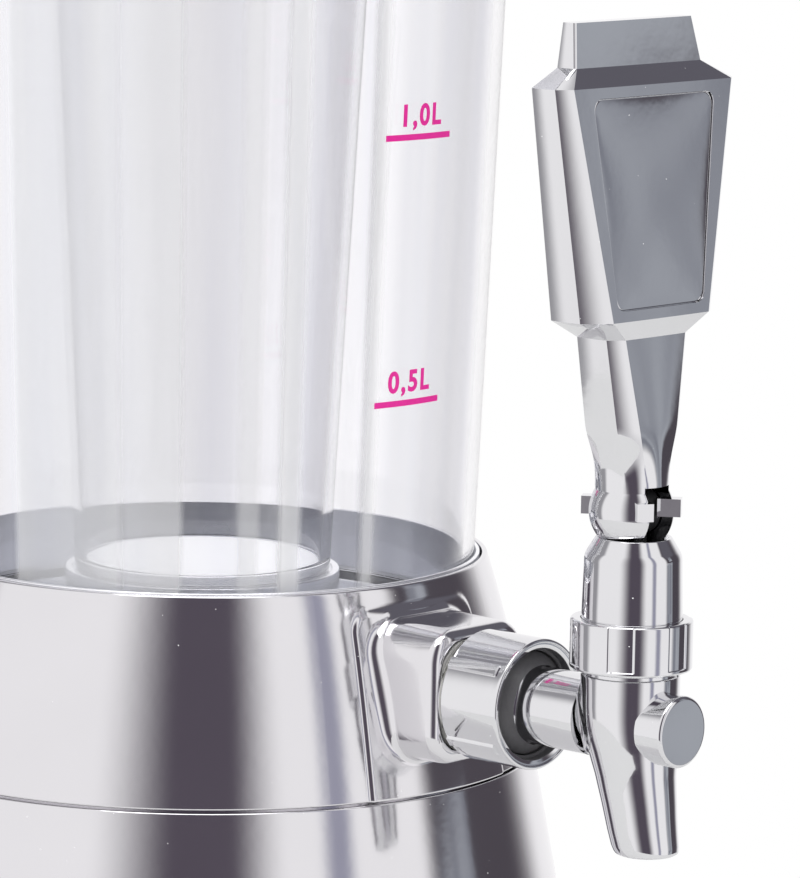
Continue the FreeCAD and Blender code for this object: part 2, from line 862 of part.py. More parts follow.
def stem_guide():
    flange_z = rim_z - neck_top_drop
    foot_z = flange_z - guide_length
    gland_z = flange_z - gland_depth
    bore = stem_radius + running_clearance
    guide = turned([
        (bore, foot_z),
        (chamber_radius - press_clearance, foot_z),
        (chamber_radius - press_clearance, flange_z),
        (neck_radius, flange_z),
        (neck_radius, flange_z + guide_flange),
        (bore, flange_z + guide_flange),
        (bore, gland_z),
        (gland_radius, gland_z),
        (gland_radius, gland_z - gland_height),
        (bore, gland_z - gland_height),
    ])
    return at_tap(guide)


def stem_o_ring():
    cord = (gland_radius - stem_radius) / 2 - press_clearance
    centre = stem_radius + (gland_radius - stem_radius) / 2
    z = rim_z - neck_top_drop - gland_depth - gland_height / 2
    return at_tap(Part.makeTorus(centre, cord, vec(0, 0, z)))


def tap_bonnet():
    flange_z = rim_z - neck_top_drop + guide_flange
    rim_top = rim_z + bonnet_rim_rise
    chamfer_z = rim_top - bonnet_chamfer_drop
    bore = stem_radius + seat_clearance
    bonnet = turned([
        (bonnet_chamber_radius, flange_z),
        (neck_radius, flange_z),
        (neck_radius, flange_z + bonnet_flange),
        (bonnet_radius, flange_z + bonnet_flange),
        (bonnet_top_radius, chamfer_z),
        (bonnet_rim_radius, rim_top),
        (0, rim_top),
        (0, bonnet_roof_z),
        (bonnet_chamber_radius, bonnet_roof_z),
    ])
    seat = Part.makeSphere(ball_radius + ball_clearance, vec(0, pivot_setback, ball_z))
    bonnet = bonnet.cut(seat).cut(cylinder(bore, flange_z, rim_top))
    return at_tap(bonnet)


# Valve stem and spring

def plunger():
    foot_z = rim_z - seat_drop + 1.0
    stem = cylinder(stem_radius, foot_z, ball_z)
    clip = ring(stem_radius + 1, stem_radius - 0.5, washer_top_z - washer_thickness, washer_top_z)
    stem = stem.cut(clip)
    half = slot_width / 2 - eye_side_clearance
    eye = Part.makeCylinder(eye_radius, 2 * half, vec(-half, pivot_setback, ball_z), vec(1, 0, 0))
    bore = Part.makeCylinder(
        pin_radius + running_clearance, 2 * half + 2, vec(-half - 1, pivot_setback, ball_z), vec(1, 0, 0)
    )
    return at_tap(stem.fuse(eye).cut(bore).removeSplitter())


def valve_seal():
    seat_z = rim_z - seat_drop
    cup = turned([
        (0, seat_z),
        (valve_seal_radius - 0.8, seat_z),
        (valve_seal_radius, seat_z + 0.8),
        (valve_seal_radius, seat_z + valve_seal_height * 0.5),
        (stem_radius + 1.2, seat_z + valve_seal_height),
        (stem_radius + press_clearance, seat_z + valve_seal_height),
        (stem_radius + press_clearance, seat_z + 1.0 - press_clearance),
        (0, seat_z + 1.0 - press_clearance),
    ])
    return at_tap(cup)


def spring_washer():
    hole = stem_radius - 0.5 + press_clearance
    return at_tap(ring(washer_radius, hole, washer_top_z - washer_thickness + press_clearance, washer_top_z))


def arc_between(start, corner, end):
    """Arc from start to end that is tangent to both legs of an even-legged corner."""
    base = (start + end) * 0.5
    rise = corner - base
    half_chord = (end - start).Length / 2
    angle = atan2(rise.Length, half_chord)
    middle = base + rise * (half_chord * tan(angle / 2) / rise.Length)
    return Part.Arc(start, middle, end).toShape()


def biarc(p0, t0, p1, t1):
    """Two arcs from p0 to p1 that leave along t0 and arrive along t1."""
    v = p1 - p0
    both = v.dot(t0 + t1)
    slack = 2 * (1 - t0.dot(t1))
    reach = (sqrt(both * both + slack * v.dot(v)) - both) / slack
    q0 = p0 + t0 * reach
    q1 = p1 - t1 * reach
    joint = (q0 + q1) * 0.5
    return [arc_between(p0, q0, joint), arc_between(joint, q1, p1)]


def helix_point(turn, z0, pitch):
    """Place and direction on the spring's centre line after a number of turns."""
    a = 2 * pi * turn
    place = vec(spring_radius * cos(a), spring_radius * sin(a), z0 + pitch * turn)
    slope = pitch / (2 * pi)
    direction = vec(-spring_radius * sin(a), spring_radius * cos(a), slope)
    direction.normalize()
    return place, direction


def return_spring():
    z0 = washer_top_z + spring_wire + press_clearance
    z1 = bonnet_roof_z - spring_wire - press_clearance
    pitch = (z1 - z0) / spring_turns
    edges = []
    for quarter in range(4 * spring_turns):
        p0, t0 = helix_point(quarter / 4, z0, pitch)
        p1, t1 = helix_point((quarter + 1) / 4, z0, pitch)
        edges.extend(biarc(p0, t0, p1, t1))
    path = Part.Wire(edges)
    start, direction = helix_point(0, z0, pitch)
    section = Part.Wire(Part.makeCircle(spring_wire, start, direction))
    coil = Part.Wire(path).makePipeShell([section], True, False)
    slope_share = cos(atan2(pitch, 2 * pi * spring_radius))
    print("return spring: least gap between turns %.2f mm" % (pitch * slope_share - 2 * spring_wire))
    print("return spring: volume over section times length %.4f"
          % (coil.Volume / (pi * spring_wire ** 2 * path.Length)))
    return at_tap(coil)


# Lever

def lever_section(rise, width, thickness, corner, setback):
    """Eight-sided section of the lever, wide across the tap and thin along its reach."""
    w = width / 2
    h = thickness / 2
    c = corner
    y = -tap_reach + setback
    z = rim_z + rise
    points = [
        (w, h - c), (w - c, h), (-w + c, h), (-w, h - c),
        (-w, -h + c), (-w + c, -h), (w - c, -h), (w, -h + c),
    ]
    corners = [vec(px, y + py, z) for px, py in points]
    return Part.makePolygon(corners + corners[:1])


def lever_form():
    """Neck, paddle and crest as straight-sided stretches between sections."""
    neck_foot = lever_section(
        neck_foot_rise, neck_foot_width, neck_foot_width, neck_foot_corner, pivot_setback
    )
    neck_head = lever_section(
        neck_head_rise, neck_head_width, neck_head_thickness, neck_head_corner, neck_head_setback
    )
    paddle_foot = lever_section(
        paddle_foot_rise, paddle_foot_width, paddle_foot_thickness, paddle_foot_corner, paddle_foot_setback
    )
    paddle_head = lever_section(
        paddle_head_rise, paddle_head_width, paddle_head_thickness, paddle_head_corner, paddle_head_setback
    )
    crest_foot = lever_section(
        crest_foot_rise, crest_foot_width, crest_foot_thickness, crest_corner, crest_foot_setback
    )
    crest_head = lever_section(
        crest_head_rise, crest_head_width, crest_head_thickness, crest_corner, crest_head_setback
    )
    sections = [neck_foot, neck_head, paddle_foot, paddle_head, crest_foot, crest_head]
    return Part.makeLoft(sections, True, True)


def paddle_front(rise):
    """Half width and reach of the paddle's front face at a height."""
    share = (rise - paddle_foot_rise) / (paddle_head_rise - paddle_foot_rise)
    foot_half = paddle_foot_width / 2 - paddle_foot_corner
    head_half = paddle_head_width / 2 - paddle_head_corner
    foot_reach = tap_reach - paddle_foot_setback + paddle_foot_thickness / 2
    head_reach = tap_reach - paddle_head_setback + paddle_head_thickness / 2
    return foot_half + (head_half - foot_half) * share, foot_reach + (head_reach - foot_reach) * share


def plate_form(inset, sink, thickness):
    """Slab with round corners that lies in the paddle's sloping front face."""
    foot_rise = paddle_foot_rise + plate_margin + inset
    head_rise = paddle_head_rise - plate_margin - inset
    foot_half, foot_reach = paddle_front(foot_rise)
    head_half, head_reach = paddle_front(head_rise)
    foot_x = foot_half - plate_side_margin_foot - inset
    head_x = head_half - plate_side_margin_head - inset
    foot = vec(0, -foot_reach, rim_z + foot_rise)
    head = vec(0, -head_reach, rim_z + head_rise)
    up = (head - foot).normalize()
    outwards = up.cross(vec(1, 0, 0))
    if outwards.y > 0:
        outwards = outwards * -1
    across = vec(1, 0, 0)
    corners = [foot - across * foot_x, foot + across * foot_x, head + across * head_x, head - across * head_x]
    corners = [p - outwards * sink for p in corners]
    slab = Part.Face(Part.makePolygon(corners + corners[:1])).extrude(outwards * -thickness)
    uprights = [e for e in slab.Edges if abs(e.Length - thickness) < 0.001]
    return slab.makeFillet(plate_corner - inset, uprights)


def tap_lever():
    pivot = vec(0, -pivot_reach, ball_z)
    lever = lever_form().fuse(Part.makeSphere(ball_radius, pivot))
    for side in (-1, 1):
        for face in (-1, 1):
            lug = box(ball_radius - 2.5, lug_reach, -lug_width / 2, lug_width / 2, 0, lug_height)
            lug.rotate(vec(0, 0, 0), vec(0, 0, 1), face * 90 + side * lug_angle)
            lug.translate(pivot + vec(0, 0, lug_rise - lug_height / 2))
            lever = lever.fuse(lug)
    half = slot_width / 2
    slot = box(
        -half, half, -pivot_reach - ball_radius - 6, -pivot_reach + slot_back,
        ball_z - ball_radius - 1, ball_z + slot_roof,
    )
    lever = lever.cut(slot)
    pin_hole = Part.makeCylinder(
        pin_radius + press_clearance, 2 * ball_radius, pivot - vec(ball_radius, 0, 0), vec(1, 0, 0)
    )
    lever = lever.cut(pin_hole)
    window_y = -pivot_reach + neck_foot_width / 2 - window_depth
    window = box(
        -window_width / 2, window_width / 2, window_y, window_y + 5,
        ball_z + slot_roof - 1.0, ball_z + slot_roof - 1.0 + window_height,
    )
    lever = lever.cut(window)
    pocket = plate_form(0, -1.0, plate_depth + 1.0)
    return lever.cut(pocket).removeSplitter()


def lever_pin():
    half = sqrt(ball_radius ** 2 - pin_radius ** 2) - 0.3
    return Part.makeCylinder(pin_radius, 2 * half, vec(-half, -pivot_reach, ball_z), vec(1, 0, 0))


def handle_plate():
    return plate_form(press_clearance, plate_inset, plate_depth - plate_inset)


# Parts list

PIECES = {
    "base_shell": base_shell,
    "base_plate": base_plate,
    "foot_ring": foot_ring,
    "plate_screws": plate_screws,
    "ballast_weight": ballast_weight,
    "ballast_screws": ballast_screws,
    "tap_housing": tap_housing,
    "housing_screws": housing_screws,
    "reservoir_bowl": reservoir_bowl,
    "bowl_screws": bowl_screws,
    "tube_seal": tube_seal,
    "reservoir_tube": reservoir_tube,
    "ice_tube": ice_tube,
    "tower_lid": tower_lid,
    "ice_tube_cap": ice_tube_cap,
    "outlet_nipple": outlet_nipple,
    "outlet_seal": outlet_seal,
    "shank_gasket": shank_gasket,
    "coupling_nut": coupling_nut,
    "tap_body": tap_body,
    "front_plug": front_plug,
    "bonnet_ring": bonnet_ring,
    "stem_guide": stem_guide,
    "stem_o_ring": stem_o_ring,
    "tap_bonnet": tap_bonnet,
    "plunger": plunger,
    "valve_seal": valve_seal,
    "spring_washer": spring_washer,
    "return_spring": return_spring,
    "tap_lever": tap_lever,
    "lever_pin": lever_pin,
    "handle_plate": handle_plate,
}

os.makedirs("parts", exist_ok=True)
for name, build in PIECES.items():
    piece = build()
    piece.exportStep("parts/%s.step" % name)
    box_size = piece.BoundBox
    print("%-16s solids %d valid %s volume %.0f z %.1f..%.1f" % (
        name, len(piece.Solids), piece.isValid(), piece.Volume, box_size.ZMin, box_size.ZMax))
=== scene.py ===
# Beer tower dispenser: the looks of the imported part, built in the CAD's own frame.
from math import atan2, cos, hypot, pi, radians, sin, sqrt, tan

import bmesh
import bpy
from mathutils import Matrix, Vector


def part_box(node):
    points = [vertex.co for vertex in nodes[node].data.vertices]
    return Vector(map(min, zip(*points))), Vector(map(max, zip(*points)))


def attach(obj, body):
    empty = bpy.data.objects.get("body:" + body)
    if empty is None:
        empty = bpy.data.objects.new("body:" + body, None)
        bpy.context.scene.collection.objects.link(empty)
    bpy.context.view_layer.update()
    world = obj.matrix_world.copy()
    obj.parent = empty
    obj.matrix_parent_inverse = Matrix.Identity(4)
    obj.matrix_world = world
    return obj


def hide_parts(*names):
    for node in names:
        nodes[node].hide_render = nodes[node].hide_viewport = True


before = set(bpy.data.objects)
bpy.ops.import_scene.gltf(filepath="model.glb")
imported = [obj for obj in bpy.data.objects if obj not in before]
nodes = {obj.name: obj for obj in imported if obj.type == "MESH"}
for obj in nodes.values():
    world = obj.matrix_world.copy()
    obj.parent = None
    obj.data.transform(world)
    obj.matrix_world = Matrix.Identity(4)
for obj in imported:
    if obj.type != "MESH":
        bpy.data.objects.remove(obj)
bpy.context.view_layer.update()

# Camera
# It looks a little down on the tower's right front quarter, from about a metre, through a long lens.
# Angles are in degrees: the heading is measured from +X to the direction of view.

MM = 0.001
camera_distance = 1044.3
camera_height = 391.8
camera_side = radians(44.37)
heading = radians(42.18)
pitch = radians(8.67)
roll = radians(0.95)

forward = Vector((cos(pitch) * cos(heading), cos(pitch) * sin(heading), -sin(pitch)))
level_right = Vector((sin(heading), -cos(heading), 0))
level_up = level_right.cross(forward)
right = level_right * cos(roll) + level_up * sin(roll)
above = level_up * cos(roll) - level_right * sin(roll)

camera_data = bpy.data.cameras.new("camera")
camera_data.lens = 212.68
camera_data.sensor_width = 36.0
camera_data.clip_end = 20.0
camera = bpy.data.objects.new("camera", camera_data)
bpy.context.scene.collection.objects.link(camera)
place = Matrix((right, above, -forward)).transposed().to_4x4()
place.translation = Vector((
    -camera_distance * cos(camera_side), -camera_distance * sin(camera_side), camera_height)) * MM
camera.matrix_world = place
bpy.context.scene.camera = camera

# Studio
# A white room with dark flags between its light screens. Polished plating is only as good as what it
# mirrors, so glossy rays see the flags, while the camera, the clear plastic and matt surfaces see white.
# A flag is (start, full from, full to, end, colour), in degrees about Z from the camera's side, to its right.

flags = [
    (-152.0, -135.0, -97.0, -86.0, (0.36, 0.355, 0.375)),
    (-38.0, -8.0, 10.0, 30.0, (0.10, 0.085, 0.11)),
    (39.0, 45.5, 48.5, 54.0, (0.36, 0.36, 0.45)),
    (76.0, 90.0, 114.0, 150.0, (0.12, 0.105, 0.12)),
]
open_white = (1.0, 0.99, 1.0)


def added(tree, kind, **properties):
    """New node with its properties set."""
    node = tree.nodes.new(kind)
    for name, value in properties.items():
        setattr(node, name, value)
    return node


def calculated(tree, operation, *values):
    """Output of a Math node on sockets or plain numbers."""
    node = tree.nodes.new("ShaderNodeMath")
    node.operation = operation
    for socket, value in zip(node.inputs, values):
        if isinstance(value, (int, float)):
            socket.default_value = value
        else:
            tree.links.new(value, socket)
    return node.outputs[0]


def mixed(tree, share, first, second):
    """Colour between two colours or sockets."""
    node = tree.nodes.new("ShaderNodeMix")
    node.data_type = "RGBA"
    for socket, value in zip((node.inputs[0], node.inputs[6], node.inputs[7]), (share, first, second)):
        if isinstance(value, bpy.types.NodeSocket):
            tree.links.new(value, socket)
        elif isinstance(value, tuple):
            socket.default_value = (*value, 1.0)
        else:
            socket.default_value = value
    return node.outputs[2]


def ramped(tree, value, low, high, first=0.0, second=1.0):
    """Value eased from first to second while it goes from low to high."""
    node = tree.nodes.new("ShaderNodeMapRange")
    node.interpolation_type = "SMOOTHSTEP"
    tree.links.new(value, node.inputs[0])
    for socket, number in zip(node.inputs[1:5], (low, high, first, second)):
        socket.default_value = number
    return node.outputs[0]


def share_of_turn(tree, across, along):
    """Angle of a direction as a share of a whole turn, 0.5 where it points straight along."""
    return calculated(tree, "MULTIPLY_ADD", calculated(tree, "ARCTAN2", across, along), 1 / (2 * pi), 0.5)


def banded(tree, share, plain, bands, interpolation):
    """Colour by the share of a turn: plain, with bands of (start, full from, full to, end, colour)."""
    node = tree.nodes.new("ShaderNodeValToRGB")
    node.color_ramp.interpolation = interpolation
    stops = node.color_ramp.elements
    for stop in stops:
        stop.color = (*plain, 1.0)
    for start, full_from, full_to, end, colour in bands:
        for angle, shade in ((start, plain), (full_from, colour), (full_to, colour), (end, plain)):
            stop = stops.new(angle / 360.0 + 0.5)
            stop.color = (*shade, 1.0)
    tree.links.new(share, node.inputs[0])
    return node.outputs[0]


world = bpy.data.worlds.new("studio")
bpy.context.scene.world = world
world.use_nodes = True
room = world.node_tree
room.nodes.clear()
direction = added(room, "ShaderNodeTexCoord").outputs["Generated"]
turned_room = added(room, "ShaderNodeVectorRotate", rotation_type="Z_AXIS")
turned_room.inputs["Angle"].default_value = -(pi + camera_side)
room.links.new(direction, turned_room.inputs["Vector"])
split = added(room, "ShaderNodeSeparateXYZ")
room.links.new(turned_room.outputs[0], split.inputs[0])
round_the_room = share_of_turn(room, split.outputs["Y"], split.outputs["X"])
screens = banded(room, round_the_room, open_white, flags, "EASE")

# Beside the tap a grey card stands low in front of the dark flag, with a second one straight above the
# first, in line with the tap. The flag is wider at its top.

flag_start = ramped(room, round_the_room, 0.715, 0.740)
flag_end = ramped(room, round_the_room, 0.83, 0.90, 1.0, 0.0)
beside_tap = calculated(room, "MULTIPLY", flag_start, flag_end)
cloudy = added(room, "ShaderNodeTexNoise")
cloudy.inputs["Scale"].default_value = 9.0
cloudy.inputs["Detail"].default_value = 1.0
room.links.new(turned_room.outputs[0], cloudy.inputs["Vector"])
grey = mixed(room, ramped(room, cloudy.outputs[0], 0.35, 0.65), (0.24, 0.25, 0.29), (0.42, 0.44, 0.48))
in_line = ramped(room, round_the_room, 0.745, 0.755)
higher_card = calculated(room, "MULTIPLY", in_line, ramped(room, split.outputs["Z"], 0.12, 0.15))
low_card = ramped(room, split.outputs["Z"], 0.03, 0.05, 1.0, 0.0)
in_reach = ramped(room, round_the_room, 0.774, 0.782, 1.0, 0.0)
either_card = calculated(room, "MULTIPLY", in_reach, calculated(room, "MAXIMUM", low_card, higher_card))
card = mixed(room, either_card, (0.085, 0.075, 0.09), grey)
low_round = mixed(room, beside_tap, screens, card)
tall_start = ramped(room, round_the_room, 0.72, 0.75)
tall_end = ramped(room, round_the_room, 0.90, 0.96, 1.0, 0.0)
tall_flag = calculated(room, "MULTIPLY", calculated(room, "MULTIPLY", tall_start, tall_end),
                       ramped(room, split.outputs["Z"], 0.30, 0.45))
low_round = mixed(room, tall_flag, low_round, (0.13, 0.125, 0.15))
overhead = ramped(room, split.outputs["Z"], 0.93, 0.99)
under = ramped(room, split.outputs["Z"], -0.30, -0.55)
mirrored = mixed(room, overhead, low_round, (0.92, 0.92, 0.95))
mirrored = mixed(room, under, mirrored, (0.75, 0.74, 0.76))
rays = added(room, "ShaderNodeLightPath")
seen = mixed(room, rays.outputs["Is Glossy Ray"], (1.0, 1.0, 1.0), mirrored)
air = added(room, "ShaderNodeBackground")
room.links.new(seen, air.inputs["Color"])
air.inputs["Strength"].default_value = 1.0
room.links.new(air.outputs[0], added(room, "ShaderNodeOutputWorld").inputs["Surface"])


def lamp(name, size, power, at, towards):
    """Soft square lamp that faces a point."""
    data = bpy.data.lights.new(name, "AREA")
    data.size = size
    data.energy = power
    obj = bpy.data.objects.new(name, data)
    bpy.context.scene.collection.objects.link(obj)
    obj.location = at
    obj.rotation_euler = (Vector(towards) - Vector(at)).to_track_quat("-Z", "Y").to_euler()


lamp("overhead_softbox", 0.9, 6.0, (-0.3, -0.2, 1.5), (0.0, 0.0, 0.2))

floor_material = bpy.data.materials.new("white_floor")
floor_material.use_nodes = True
tree = floor_material.node_tree
tree.nodes.clear()
rays = added(tree, "ShaderNodeLightPath")
paper = added(tree, "ShaderNodeBsdfDiffuse")
grain = added(tree, "ShaderNodeTexNoise")
grain.inputs["Scale"].default_value = 60.0
tree.links.new(mixed(tree, grain.outputs[0], (0.72, 0.72, 0.72), (0.76, 0.76, 0.76)), paper.inputs["Color"])
glow = added(tree, "ShaderNodeEmission")
tree.links.new(
    calculated(tree, "MULTIPLY", calculated(
        tree, "MAXIMUM", rays.outputs["Is Camera Ray"], rays.outputs["Is Transmission Ray"]), 0.36),
    glow.inputs["Strength"])
both = added(tree, "ShaderNodeAddShader")
tree.links.new(paper.outputs[0], both.inputs[0])
tree.links.new(glow.outputs[0], both.inputs[1])
tree.links.new(both.outputs[0], added(tree, "ShaderNodeOutputMaterial").inputs["Surface"])

bpy.ops.mesh.primitive_circle_add(vertices=128, radius=0.6, fill_type="NGON", location=(0, 0, 0))
floor = bpy.context.object
floor.name = "floor"
floor.data.materials.append(floor_material)

# Base shell
# A flared foot of ABS, vacuum metallised to a bright silver. It is spun here from its outline, with the
# deck and the posts inside, because flat facets would show in the plating.


def plated(name, colour, roughness, ripple, specks):
    """Bright metallised plastic: faint clouds in the plating, a ripple from the mould, and dust."""
    material = bpy.data.materials.new(name)
    material.use_nodes = True
    tree = material.node_tree
    shader = tree.nodes["Principled BSDF"]
    spot = added(tree, "ShaderNodeTexCoord").outputs["Object"]
    clouds = added(tree, "ShaderNodeTexNoise")
    clouds.inputs["Scale"].default_value = 35.0
    clouds.inputs["Detail"].default_value = 3.0
    tree.links.new(spot, clouds.inputs["Vector"])
    darker = tuple(channel * 0.93 for channel in colour)
    metal = mixed(tree, clouds.outputs[0], darker, colour)
    dust = added(tree, "ShaderNodeTexVoronoi")
    dust.inputs["Scale"].default_value = 1100.0
    tree.links.new(spot, dust.inputs["Vector"])
    pick = added(tree, "ShaderNodeSeparateColor")
    tree.links.new(dust.outputs["Color"], pick.inputs[0])
    chosen = calculated(tree, "GREATER_THAN", pick.outputs[0], 1.0 - specks)
    close = calculated(tree, "LESS_THAN", dust.outputs["Distance"], calculated(
        tree, "MULTIPLY", pick.outputs[1], 0.16))
    speck = calculated(tree, "MULTIPLY", chosen, close)
    tree.links.new(mixed(tree, speck, metal, (0.92, 0.92, 0.93)), shader.inputs["Base Color"])
    tree.links.new(calculated(tree, "SUBTRACT", 1.0, speck), shader.inputs["Metallic"])
    haze = calculated(tree, "MULTIPLY_ADD", clouds.outputs[0], roughness * 0.5, roughness * 0.75)
    tree.links.new(calculated(tree, "MAXIMUM", haze, calculated(tree, "MULTIPLY", speck, 0.6)),
                   shader.inputs["Roughness"])
    wave = added(tree, "ShaderNodeTexNoise")
    wave.inputs["Scale"].default_value = 260.0
    wave.inputs["Detail"].default_value = 2.0
    tree.links.new(spot, wave.inputs["Vector"])
    bump = added(tree, "ShaderNodeBump")
    bump.inputs["Strength"].default_value = ripple
    bump.inputs["Distance"].default_value = 0.0001
    tree.links.new(wave.outputs[0], bump.inputs["Height"])
    tree.links.new(bump.outputs[0], shader.inputs["Normal"])
    return material


def softened(corners, facets=6):
    """Closed outline of (radius, height) points, from (radius, height, rounding) corners."""
    points = []
    for k, (r, z, rounding) in enumerate(corners):
        here = Vector((r, z))
        if rounding <= 0:
            points.append(here)
            continue
        before = (Vector(corners[k - 1][:2]) - here).normalized()
        after = (Vector(corners[(k + 1) % len(corners)][:2]) - here).normalized()
        half_angle = before.angle(after) / 2
        leg = rounding / tan(half_angle)
        middle = here + (before + after).normalized() * rounding / sin(half_angle)
        first = here + before * leg - middle
        last = here + after * leg - middle
        sweep = first.angle_signed(last)
        for step in range(facets + 1):
            turn = -sweep * step / facets
            points.append(middle + Vector((
                first.x * cos(turn) - first.y * sin(turn), first.x * sin(turn) + first.y * cos(turn))))
    return [(p.x, p.y) for p in points]


def upright(r, angle, z, axis_y=0.0):
    """Place of a point on a shape that is turned about the tower, or about the tap when axis_y is its."""
    return Vector((r * sin(angle), axis_y - r * cos(angle), z)) * MM


def turned(name, points, place=upright, steps=256, angles=None, **where):
    """Closed mesh of revolution from its outline; points on the axis become poles."""
    angles = angles or [2 * pi * k / steps for k in range(steps)]
    rings = []
    for r, z in points:
        if r < 1e-6:
            rings.append([place(0.0, 0.0, z, **where)])
        else:
            rings.append([place(r, angle, z, **where) for angle in angles])
    return lofted(name, rings)


def lofted(name, rings, closed=True):
    """Mesh through rings of points; a ring of one point is a pole. Closed, the last joins the first."""
    mesh = bmesh.new()
    count = max(len(ring) for ring in rings)
    rows = []
    for ring in rings:
        corners = [mesh.verts.new(point) for point in ring]
        rows.append(corners if len(corners) > 1 else corners * count)
    for row, following in zip(rows, rows[1:] + (rows[:1] if closed else [])):
        for k in range(count):
            ring = [row[k], row[(k + 1) % count], following[(k + 1) % count], following[k]]
            corners = list(dict.fromkeys(ring))
            if len(corners) > 2:
                mesh.faces.new(corners)
    return from_bmesh(name, mesh)


sharp_corner = radians(32.0)


def from_bmesh(name, mesh):
    """Mesh object with outward faces, smooth except along its corners."""
    bmesh.ops.recalc_face_normals(mesh, faces=mesh.faces)
    for face in mesh.faces:
        face.smooth = True
    for edge in mesh.edges:
        if len(edge.link_faces) == 2:
            edge.smooth = edge.calc_face_angle(0.0) < sharp_corner
    data = bpy.data.meshes.new(name)
    mesh.to_mesh(data)
    mesh.free()
    obj = bpy.data.objects.new(name, data)
    bpy.context.scene.collection.objects.link(obj)
    return obj


def joined(name, parts):
    """One object from several, in the order given."""
    bpy.ops.object.select_all(action="DESELECT")
    for part in parts:
        part.select_set(True)
    bpy.context.view_layer.objects.active = parts[0]
    bpy.ops.object.join()
    parts[0].name = name
    parts[0].data.name = name
    return parts[0]


def dressed(obj, material, body, *stands_for, slot=None):
    """Gives a piece its finish and even shading, and sets it on its body in place of its CAD node."""
    obj.data.materials.clear()
    obj.data.materials.append(material)
    even = obj.modifiers.new("even_shading", "WEIGHTED_NORMAL")
    even.keep_sharp = True
    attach(obj, body)
    if stands_for:
        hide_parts(*stands_for)


silver = plated("silver_plating", (0.80, 0.79, 0.81), 0.09, 0.10, 0.035)

low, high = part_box("base_shell")
foot_radius = high.x / MM
shell_foot = low.z / MM
seam_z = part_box("tap_housing")[0].z / MM
seam_radius = 68.3
seam_gap = 0.5
shell_wall = 2.6
flare_foot = shell_foot + 8.0
flare_top = flare_foot + 15.0
shell_top = seam_z - seam_gap
slope_start = foot_radius - 8.0
deck_radius = seam_radius - 3.1
deck_under = seam_z - 3.0
bowl_post_circle = 42.0
plate_post_circle = 82.0
post_radius = 5.0


def base_flare(inset):
    """The quarter bend of the foot, from its band up into the long slope."""
    start = Vector((foot_radius - inset, flare_foot))
    middle = Vector((foot_radius - 5.3 - inset, flare_foot + 6.3))
    end = Vector((slope_start - inset, flare_top))
    bend = []
    for step in range(13):
        t = step / 12
        way = start * (1 - t) ** 2 + (middle * 2 - (start + end) / 2) * 2 * t * (1 - t) + end * t ** 2
        bend.append((way.x, way.y))
    return bend


def screw_post(circle, angle, foot, head, rounding):
    """Round post that takes a screw, on a circle about the tower."""
    outline = softened([
        (0.0, foot, 0), (post_radius, foot, 0), (post_radius, head, rounding), (0.0, head, 0)])
    post = turned("post", outline, steps=32)
    turn = radians(angle)
    post.data.transform(Matrix.Translation(Vector((circle * cos(turn), circle * sin(turn), 0)) * MM))
    return post


shell_outline = [(foot_radius - shell_wall, shell_foot), (foot_radius - 0.6, shell_foot)]
shell_outline += [(foot_radius, shell_foot + 0.6)]
shell_outline += base_flare(0.0)
shell_outline += softened([
    (slope_start, flare_top, 0), (seam_radius, shell_top, 0.45),
    (seam_radius - shell_wall, shell_top, 0)])[1:-1]
shell_outline += [(deck_radius, shell_top), (deck_radius, seam_z), (0.0, seam_z), (0.0, deck_under)]
shell_outline += [(seam_radius - shell_wall, deck_under)]
shell_outline += base_flare(shell_wall)[::-1]
base = turned("base_shell_visual", shell_outline, steps=320)
posts = []
for angle in (45.0, 135.0, 225.0, 315.0):
    posts.append(screw_post(bowl_post_circle, angle, seam_z, seam_z + 5.0, 0.4))
    posts.append(screw_post(plate_post_circle, angle, 6.4, 32.4, 0.4))
base = joined("base_shell_visual", [base] + posts)
dressed(base, silver, "tower", "base_shell", slot="silver_plastic")

# Closing plate, rubber ring and weight
# The plate is moulded in black ABS. The tower stands on a rubber ring pressed into its groove, and a cast
# iron disc is screwed on top of it. Their CAD solids stay and only get their finishes.


def moulded(name, colour, roughness, grain_scale, depth):
    """Matt plastic or rubber: slight mottling and a fine moulded grain."""
    material = bpy.data.materials.new(name)
    material.use_nodes = True
    tree = material.node_tree
    shader = tree.nodes["Principled BSDF"]
    spot = added(tree, "ShaderNodeTexCoord").outputs["Object"]
    grain = added(tree, "ShaderNodeTexNoise")
    grain.inputs["Scale"].default_value = grain_scale
    grain.inputs["Detail"].default_value = 4.0
    tree.links.new(spot, grain.inputs["Vector"])
    lighter = tuple(min(1.0, channel * 1.25 + 0.004) for channel in colour)
    tree.links.new(mixed(tree, grain.outputs[0], colour, lighter), shader.inputs["Base Color"])
    shade = calculated(tree, "MULTIPLY_ADD", grain.outputs[0], 0.2, roughness - 0.1)
    tree.links.new(shade, shader.inputs["Roughness"])
    bump = added(tree, "ShaderNodeBump")
    bump.inputs["Strength"].default_value = 0.5
    bump.inputs["Distance"].default_value = depth
    tree.links.new(grain.outputs[0], bump.inputs["Height"])
    tree.links.new(bump.outputs[0], shader.inputs["Normal"])
    return material


def finish(material, slot, *names):
    """Gives CAD nodes that stay their finish."""
    for name in names:
        nodes[name].data.materials.clear()
        nodes[name].data.materials.append(material)


black_plastic = moulded("black_plastic", (0.018, 0.018, 0.02), 0.45, 900.0, 0.00004)
black_rubber = moulded("black_rubber", (0.025, 0.025, 0.026), 0.7, 700.0, 0.00008)
cast_iron = moulded("cast_iron", (0.09, 0.09, 0.095), 0.65, 420.0, 0.0002)
finish(black_plastic, "black_plastic", "base_plate")
finish(black_rubber, "black_rubber", "foot_ring")
finish(cast_iron, "cast_iron", "ballast_weight")

# Screws
# Pan head self-tapping screws in four circles of four: through the closing plate into the shell, into the
# weight, and up through the deck into the collar and the bowl. Geometry Nodes place each circle's screws.


